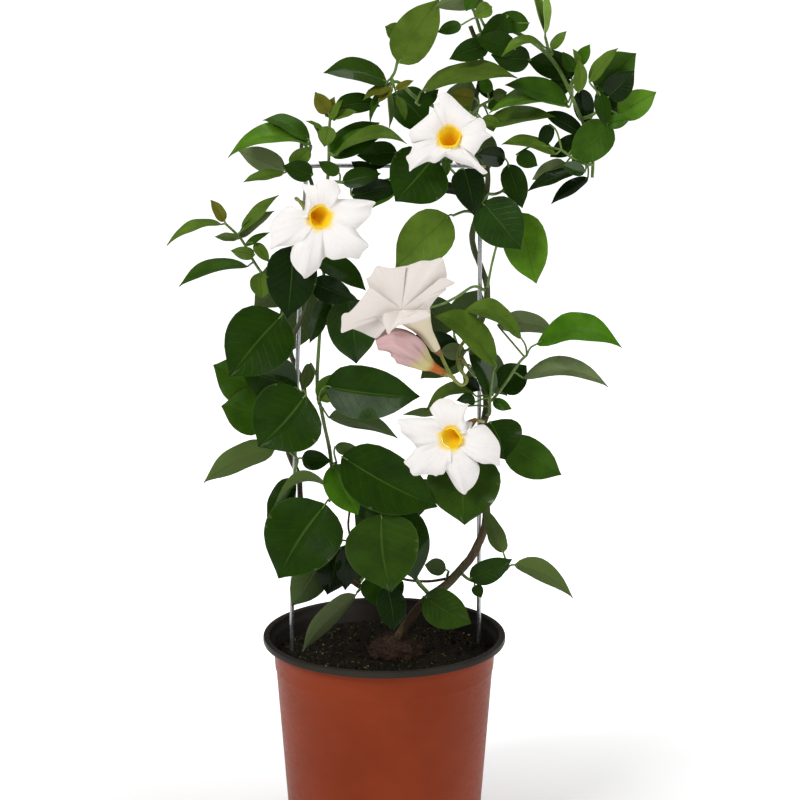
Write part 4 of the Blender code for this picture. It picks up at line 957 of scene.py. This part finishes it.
def leaf_frame(base, tip, width, look):
    """Length, half width, the way across and the upper face's normal of a leaf that is seen like this."""
    way = tip - base
    length = way.length
    way.normalize()
    to_eye = (EYE - (base + tip) / 2).normalized()
    facing = (to_eye - way * to_eye.dot(way)).normalized()
    side = way.cross(facing)
    if side.dot(Vector((0.35, 0, 1))) < 0:
        side = -side
    real = max(width, NATURAL_RATIO * length)
    turn = acos(min(1.0, width / real))
    if look == "u":
        turn = pi - turn
    normal = facing * cos(turn) + side * sin(turn)
    return length, real / 2, normal.cross(way), normal


def on_midrib(base, tip, arch, part):
    return base + (tip - base) * part + WORLD_UP * arch * 4 * part * (1 - part)


def add_leaf(skin, base, tip, width, look, arch, tone_name, number):
    """Adds a blade and returns the place on its midrib where its stalk ends."""
    length, half, across_way, normal = leaf_frame(base, tip, width, look)
    steps, half_steps = (18, 5) if length > LARGE_LEAF else (11, 3)
    wave = 0.9 + 0.35 * sin(number * 2.4)
    phase = number * 1.7
    lean = 0.10 * sin(number * 3.1)

    def line(part):
        part = part ** 1.05
        reach = half * reading(OUTLINE, part)
        middle = on_midrib(base, tip, arch, part)
        middle += across_way * lean * half * sin(pi * part)
        droop = normal * (-0.10 * length * max(0.0, part - 0.55) ** 2 * 2)
        for j in range(-half_steps, half_steps + 1):
            edge = j / half_steps
            size = abs(edge)
            ruffle = sin(part * 11 * wave + phase + (2 if j > 0 else 0))
            cup = 0.20 * size ** 1.3 + 0.05 * ruffle * size * size
            quilt = 0.012 * sin(part * 46 + size * 9) * size * (1 - size) * 2
            groove = -0.03 * (1 - min(1.0, size * 4))
            rise = normal * (reach * (cup + quilt) + half * groove)
            thick = normal * BLADE_THICK * 0.5 * (1 - size ** 4)
            yield middle + across_way * reach * edge + rise + droop, thick, (part, 0.5 + edge * 0.5)

    shade = (*TONES[tone_name], SHEEN.get(tone_name, 0.0))
    top, low = skin.sheet(steps, line, shade, 1.0)
    for end, flip in ((0, True), (-1, False)):
        skin.grid([top[end], low[end]], [[(0.0, 0.5)] * len(top[end])] * 2, shade, 1.0, flip=flip)
    return on_midrib(base, tip, arch, 0.06)


print("leaf builder ready")

# %% [markdown]
# Now each spray is grown: its shoot, a stalk for each leaf that bends from the shoot to the blade, and the
# blades. One mesh holds a spray, because its leaves never part.

# %% Growing the sprays
CLEAR_BASE = 2.0 * MM
PETIOLE_R = 0.75 * MM
SHOOT_R = 1.15 * MM
leaf_number = 0
face_count = 0
for block in SPRAYS.split(";"):
    names, shoot, leaves = block.split("/")
    name, parent = names.split()
    path = [seen(*p) for p in table(shoot)]
    path[0] = branch_start(parent, path[1])
    skin = Skin()
    skin.rod(smooth_path(path, 4), SHOOT_R, SHOOT_R * 0.8, 8, 1)
    carrier = [path[0].lerp(path[1], 0.6)] + path[1:]
    for bx, bz, tx, tz, width, depth, change, tone_name, *turned in table(leaves):
        look, arch = turned or ("f", 0)
        leaf_number += 1
        base = seen(bx, bz, depth)
        tip = seen(tx, tz, depth + change)
        stalk, _ = nearest_on(carrier, base)
        if (base - stalk).length < CLEAR_BASE:
            base = base + (tip - base).normalized() * CLEAR_BASE
        joint = add_leaf(skin, base, tip, width * MM, look, arch * MM, tone_name, leaf_number)
        bow = (base - stalk).length
        bend = (stalk + base) / 2 + Vector((0, 0, 0.10 * bow)) - (tip - base).normalized() * 0.10 * bow
        skin.rod(smooth_path([stalk, bend, base, joint], 4), PETIOLE_R, PETIOLE_R * 0.75, 7, 1)
    name += "_spray"
    face_count += skin.finish(name + "_leaves", [leaf.material, petiole_skin.material], name, "leaf")
print(leaf_number, "leaves,", face_count, "faces")

# %% [markdown]
# A flower is a funnel that opens into broad petals, five or six of them. They overlap like a pinwheel: one
# side of each goes under its neighbour and the other lies on top. Each petal is a fan of lines from the
# throat's ring to its own outline, given as seen, so the hooked corners and the frilled edges are the real
# ones. The funnel's mouth sinks behind the petals, so the yellow throat has real depth.

# %% Flowers
# The throat and the calyx as seen, the throat's radius, and the petals clockwise. A petal is its depth
# behind the throat and its outline (across, up).
BLOOMS = {
    "top_flower": ((44, 501, -38), (50, 486, -14), 6.6, [
        "1, 34 519, 34 523, 39 525, 40 528, 36 529, 37 530, 41 531, 46 528, 53 521, 60 515, 63 513.5",
        "0, 63 513.5, 65 514, 67.5 512, 69 508, 69 505, 71 503, 73 501.5, 70 499.5, 67 497, 64 492, 61 488",
        "2, 61 488, 64 484, 66 480, 70 477, 69.5 476, 66.5 475.5, 60 480, 50 483, 44 486, 41 487.5",
        "0, 41 487.5, 35 483, 30 484, 25 482, 20 479, 17.5 477, 17 482, 15 487, 18 490, 20 496",
        "2, 20 496.5, 18.5 497, 17 504, 22 509, 28 514, 33 518.5, 34 519"]),
    "left_flower": ((-43, 446, -40), (-50, 448, -16), 6.6, [
        """0, -54 448, -53 457, -53 462, -56 468.5, -50 468, -46 468, -45 471, -40 472, -35 471.5,
        -32 470, -30 467, -29 463, -31 461.5, -31 459""",
        "2, -31 458.5, -20 458.5, -10 457.5, -5.5 456, -8 452.5, -8.5 448, -12 444, -18.5 437.5",
        "0, -18.5 437, -15 432, -10 426.5, -14 422, -16 418, -18 417, -25 418, -34 416.5, -38 418, -40 419",
        """3, -40 418, -42 416, -44 411, -50 405.5, -54 403.5, -56 406, -60 410, -63 415, -63.5 420,
        -62 425.5, -61 426""",
        """0, -61 426.5, -66 426, -72 425.5, -77.5 423.5, -77 430, -78 437, -76.5 443, -72 448.5,
        -67 453, -62 453.5, -57 451, -54 448"""]),
    "right_flower": ((46, 291, -40), (60, 302, -16), 6.6, [
        """0, 35 304, 34 308, 31.5 311.5, 34 316, 38 319, 44 319.5, 47.5 318, 50 316, 54 315.5, 58 316,
        58 314, 56 310, 55.5 305, 57 302, 57.5 296""",
        """2, 57.5 296, 62 299.5, 68 301, 72 298.5, 78 291, 80 287, 80.5 283, 80 277, 80 271, 75 273,
        69 273, 66 274, 63 275""",
        "3, 64 274, 66 270, 65.5 264, 63 258.5, 60 255, 58 253.5, 56 251, 51 254.5, 47 260, 43 267.5",
        """0, 42.5 268, 41 265.5, 38 265, 35.5 264, 33 265, 26 265, 21 264.5, 18.5 267, 17.5 270,
        13.5 274, 17 278, 20 282, 22 284.5""",
        """2, 22 285, 18 289.5, 14 293, 11.5 296, 11 300, 9 302, 9 304.5, 14 305.5, 22 306, 30 306, 35 305.5"""]),
    "cream_flower": ((12, 382, -60), (36, 354, -38), 13.0, [
        """-4, -6 377, -16 374, -25 371.5, -28 366, -29.5 366.5, -29 372, -29 377, -27 379.5, -24 380,
        -19 385, -13 393, -10 398""",
        "6, -10 397, -12 403.5, -9 405.5, -6 411.5, -3 412.5, 5 411, 15 412.5",
        "8, 14 412, 20 414, 26 416, 32 416, 38 418, 40.5 417, 42 412, 43 406, 42.5 403",
        "2, 42 404, 49 400.5, 43 398, 42 395, 36 390, 31 383, 28 380",
        "-6, 29 381, 32 378, 29 376, 20 373, 11 371, 6 368, 3 364.5, 1 369, -1 375, 0 379",
        "4, 0 377, 1 371, -1 366, -5 362, -9 363, -16 366.5, -25 370.5, -18 375, -8 378"]),
}
PETAL_THICK = 0.4 * MM
TUBE = table("0 0.24, 0.15 0.3, 0.35 0.36, 0.55 0.56, 0.75 0.84, 0.9 1, 1 1.06")
TUBE_WALL = 0.6 * MM
TUBE_SIDES = 30


def add_petal(skin, mouth, axis, ring, outline, number, start_u, relief):
    """A petal from the throat's ring to the outline, tucked under its neighbour along its first edge."""
    edge_line = smooth_path(outline, 3)
    first = mouth + (edge_line[0] - mouth) * 0.86
    span = outline[-1] - outline[0]
    tucked = first - span.normalized() * min(5 * MM, span.length * 0.3)
    edge_line.insert(0, mouth + (tucked - mouth) * 0.92)
    sink = min(3.3 * MM, ring * 0.5)

    def line(part):
        for j, goal in enumerate(edge_line):
            side = j / (len(edge_line) - 1)
            out = goal - mouth
            flat = (out - axis * out.dot(axis)).normalized()
            start = mouth + flat * ring - axis * sink
            reach = (goal - start).length
            swelling = sink * (1 - (1 - part) ** 3) * (1 - part ** 2)
            belly = axis * (swelling + 2.6 * MM * sin(pi * part) * part)
            frill = 0.035 * (0.3 + 0.7 * relief) * reach * sin(side * 14 + number * 2.1) * part ** 2
            keel = 0.030 * relief * reach * (1 - (2 * side - 1.1) ** 2) * part * (1 - part * 0.6)
            step = (-1.3 * (1 - side) ** 3 + 0.5 * side ** 3) * part * relief * MM
            thick = axis * PETAL_THICK * 0.5 * (1 - part ** 8) * (1 - (1 - part) ** 8)
            thick = thick * (1 - abs(2 * side - 1) ** 8)
            yield (start + (goal - start) * part + belly + axis * (frill + keel + step), thick,
                   (start_u + part * (1 - start_u), side))

    skin.sheet(13, line, PLAIN, 0.0)


def add_funnel(skin, mouth, foot, radius, inner_u, outer_u):
    """The flower's tube: a thin wall that flares from the calyx to the mouth."""
    axis = (mouth - foot).normalized()
    span = (mouth - foot).length
    side_way = axis.orthogonal().normalized()
    loop = [(0.0, 0.0, outer_u)]
    loop += [(part, girth * radius, outer_u if part < 0.9 else inner_u) for part, girth in TUBE]
    loop += [(part, girth * radius - TUBE_WALL, inner_u * part) for part, girth in reversed(TUBE[2:])]
    loop.append((0.33, 0.0, 0.0))
    ways = round_ways(side_way, axis.cross(side_way), TUBE_SIDES)
    rows = [[foot + axis * span * part + out * max(girth, 0) * (1 + 0.04 * cos(5 * 2 * pi * k / TUBE_SIDES))
             for k, out in enumerate(ways)] for part, girth, _ in loop]
    skin.grid(rows, [[(u, k / TUBE_SIDES) for k in range(len(ways))] for _, _, u in loop], PLAIN, flip=True)


for name, (throat, calyx, radius, petals) in BLOOMS.items():
    mouth, foot = seen(*throat), seen(*calyx)
    axis = (mouth - foot).normalized()
    opening = (EYE - mouth).normalized()
    if name == "cream_flower":
        tube, lift, ring = (seen(17, 386, -52), radius * MM, 0.30, 0.20), 0, 0.3 * MM
        start_u, relief, petal_skin = 0.28, 0.22, cream_petal
    else:
        opening = (axis * 0.6 + opening * 1.4).normalized()
        tube, lift, ring = (mouth - opening * 1.7 * MM, (radius + 0.5) * MM, 0.195, 0.62), 1.5, radius * MM
        start_u, relief, petal_skin = 0.20, 1.0, white_petal
    skin = Skin()
    add_funnel(skin, tube[0], foot + axis * GAP, *tube[1:])
    for number, petal in enumerate(petals):
        (behind,), *outline = table(petal)
        points = [seen(x, z, throat[2] + lift + behind) for x, z in outline]
        add_petal(skin, mouth, opening, ring, points, number, start_u, relief)
    skin.finish(name + "_petals", [petal_skin], name, "petal")
print(len(BLOOMS), "flowers")

# %% [markdown]
# Each flower sits on a stalk with five narrow pointed sepals, which ripen to orange-brown. The spent flower
# hangs beside the cream one as a crumpled pink bag.

# %% Stalks, sepals and the spent flower
# Parent vine, radius, and the path as seen from the vine to the calyx.
STALKS = {
    "top_flower": ("main_vine", 1.1, "66 476 8, 64 481 -4, 58 485 -12, 50 486 -14"),
    "left_flower": ("left_vine", 1.1, "-56 456 4, -59 458 -4, -58 458 -9, -50 448 -16"),
    "right_flower": ("main_vine", 1.3, "70 302 14, 68 303 6, 65 304 -6, 60 302 -16"),
    "cream_flower": ("main_vine", 1.2, """62 362 14, 56 361 2, 51 352 -12, 52 341 -22, 57 333 -28,
        53 329 -33, 46 336 -36, 36 354 -38"""),
}
BUDS = table("53.5 345, 55.5 342.5, 50.5 344")
# The spine of the spent flower with its radius, and its stalk.
SPENT_FLOWER = table("""40 338 -42 2, 33 342 -44 3.4, 25 347 -47 7, 16 355 -50 10.5, 6 360 -51 8.5,
    -5 358 -51 4""")
SPENT_STALK = table("48 334 -40, 44 336 -42")
SEPAL_LENGTH = 9 * MM
BAG_SIDES = 40


def add_sepals(skin, foot, axis, girth, slot):
    side_way = axis.orthogonal().normalized()
    for out in round_ways(side_way, axis.cross(side_way), 5)[:5]:
        path = [foot - axis * SEPAL_LENGTH * 0.5 + out * girth * 0.4, foot + out * girth * 1.05,
                foot + axis * SEPAL_LENGTH * 0.55 + out * girth * 1.25]
        skin.rod(smooth_path(path, 3), 1.0 * MM, 0.12 * MM, 6, slot, (1, 1, 1, 0.75))


for flower, (parent, girth, points) in STALKS.items():
    name = flower + "_stalk"
    path = [seen(*p) for p in table(points)]
    path[0] = branch_start(parent, path[1])
    built_vines[name] = (list(path), girth, girth)
    foot = path[-1]
    axis = (seen(*BLOOMS[flower][0]) - foot).normalized()
    path[-1] = foot - axis * 5 * MM
    skin = Skin()
    skin.rod(smooth_path(path, 6), girth * MM, girth * MM, 10, 0)
    skin.rod([foot - axis * 6 * MM, foot - axis * 4 * MM, foot - axis * 1.5 * MM, foot - axis * GAP],
             girth * MM, 2.3 * MM, 12, 0, (1, 1, 1, 0.35))
    add_sepals(skin, foot - axis * 1.0 * MM, axis, 2.2 * MM, 0)
    if flower == "cream_flower":
        for bud_x, bud_z in BUDS:
            twig = [seen(52.5, 348, -17), seen(bud_x, bud_z + 1.5, -17), seen(bud_x, bud_z, -17)]
            skin.rod(smooth_path(twig, 3), 0.6 * MM, 1.3 * MM, 8, 0, (1, 1, 1, 0.2))
    skin.finish(name + "_skin", [sepal.material], name, "calyx")

spine = [seen(x, z, y) for x, z, y, _ in SPENT_FLOWER]
girths = [(i / (len(SPENT_FLOWER) - 1), row[3]) for i, row in enumerate(SPENT_FLOWER)]
bag_path = smooth_path(spine, 6)
rows = [[bag_path[0]] * (BAG_SIDES + 1)]
places = [[(0.0, 0.5)] * (BAG_SIDES + 1)]
for i, point in enumerate(bag_path):
    part = i / (len(bag_path) - 1)
    way = (bag_path[min(i + 1, len(bag_path) - 1)] - bag_path[max(i - 1, 0)]).normalized()
    side_way = way.cross(WORLD_UP).normalized()
    row = []
    for k, out in enumerate(round_ways(side_way, way.cross(side_way), BAG_SIDES)):
        angle = 2 * pi * k / BAG_SIDES
        folds = 0.14 * cos(5 * angle + part * 7) + 0.07 * cos(11 * angle - part * 12)
        crumple = 1 + folds * min(1, part * 2)
        row.append(point + out * reading(girths, part) * crumple * MM)
    rows.append(row)
    places.append([(part, k / BAG_SIDES) for k in range(BAG_SIDES + 1)])
rows.append([bag_path[-1]] * (BAG_SIDES + 1))
places.append([(1.0, 0.5)] * (BAG_SIDES + 1))
skin = Skin()
skin.grid(rows, places, PLAIN)
stalk_path = [seen(*p) for p in SPENT_STALK] + spine[:2]
stalk_path.insert(0, branch_start("cream_flower_stalk", stalk_path[0]))
skin.rod(smooth_path(stalk_path, 4), 1.1 * MM, 1.5 * MM, 10, 1)
add_sepals(skin, spine[0], (spine[1] - spine[0]).normalized(), 2.0 * MM, 1)
skin.finish("spent_flower_petals", [wilted_petal, sepal.material], "spent_flower", "spent_petal")
print("stalks and spent flower done")

# %% [markdown]
# The studio is plain: a pale floor that runs out behind the plant and glows like a lamp, dimly in front of
# the plant and brightly from just behind it; a big soft light high on the left, a weaker one on the right,
# one above and a white surround that fills the shadows. The camera stands where the photograph was taken.

# %% Studio
floor_mesh = bpy.data.meshes.new("floor")
floor_mesh.from_pydata([(-14, -6, 0), (14, -6, 0), (14, 22, 0), (-14, 22, 0)], [], [(0, 1, 2, 3)])
floor = placed("floor", floor_mesh)
floor_glow_finish = Finish("glowing_floor", Roughness=0.9, Base_Color=(0.85, 0.85, 0.85, 1.0), Specular_IOR_Level=0.1,
               Emission_Strength=1.0)
# Painted light: the floor glows, dimly in front of the plant and brightly from just behind it.
glow_depth = floor_glow_finish.split(floor_glow_finish.place())[1]
floor_glow_finish.into("Emission Color", floor_glow_finish.blend(glow_depth.ramp(-0.1, 0.6), (0.30, 0.30, 0.30), (0.95, 0.95, 0.95)))
floor_mesh.materials.append(floor_glow_finish.material)


def soft_light(name, place, target, size, power):
    lamp = bpy.data.lights.new(name, "AREA")
    lamp.shape = "RECTANGLE"
    lamp.size, lamp.size_y = size
    lamp.energy = power
    holder = placed(name, lamp)
    holder.location = place
    holder.rotation_euler = (Vector(target) - Vector(place)).to_track_quat("-Z", "Y").to_euler()


soft_light("key", (-1.5, -1.6, 1.9), (0, 0, 0.35), (1.0, 1.0), 42)
soft_light("fill", (1.7, -1.3, 1.0), (0, 0, 0.3), (1.0, 1.4), 14)
soft_light("top", (0.2, 0.3, 2.2), (0, 0, 0.3), (1.2, 1.2), 12)
world = bpy.data.worlds.new("white_surround")
world.use_nodes = True
surround = world.node_tree.nodes["Background"].inputs
surround["Color"].default_value = (1.0, 1.0, 1.0, 1.0)
surround["Strength"].default_value = 0.16
bpy.context.scene.world = world
bpy.context.scene.view_settings.view_transform = "Standard"

CAMERA_DOWN = 13.5
camera = placed("camera", bpy.data.cameras.new("camera"))
camera.data.lens = 128.07
camera.data.sensor_width = 36.0
camera.data.clip_end = 60.0
camera.location = EYE
camera.rotation_euler = (radians(90 - CAMERA_DOWN), 0, 0)
bpy.context.scene.camera = camera
print("camera at", [round(v, 3) for v in camera.location])
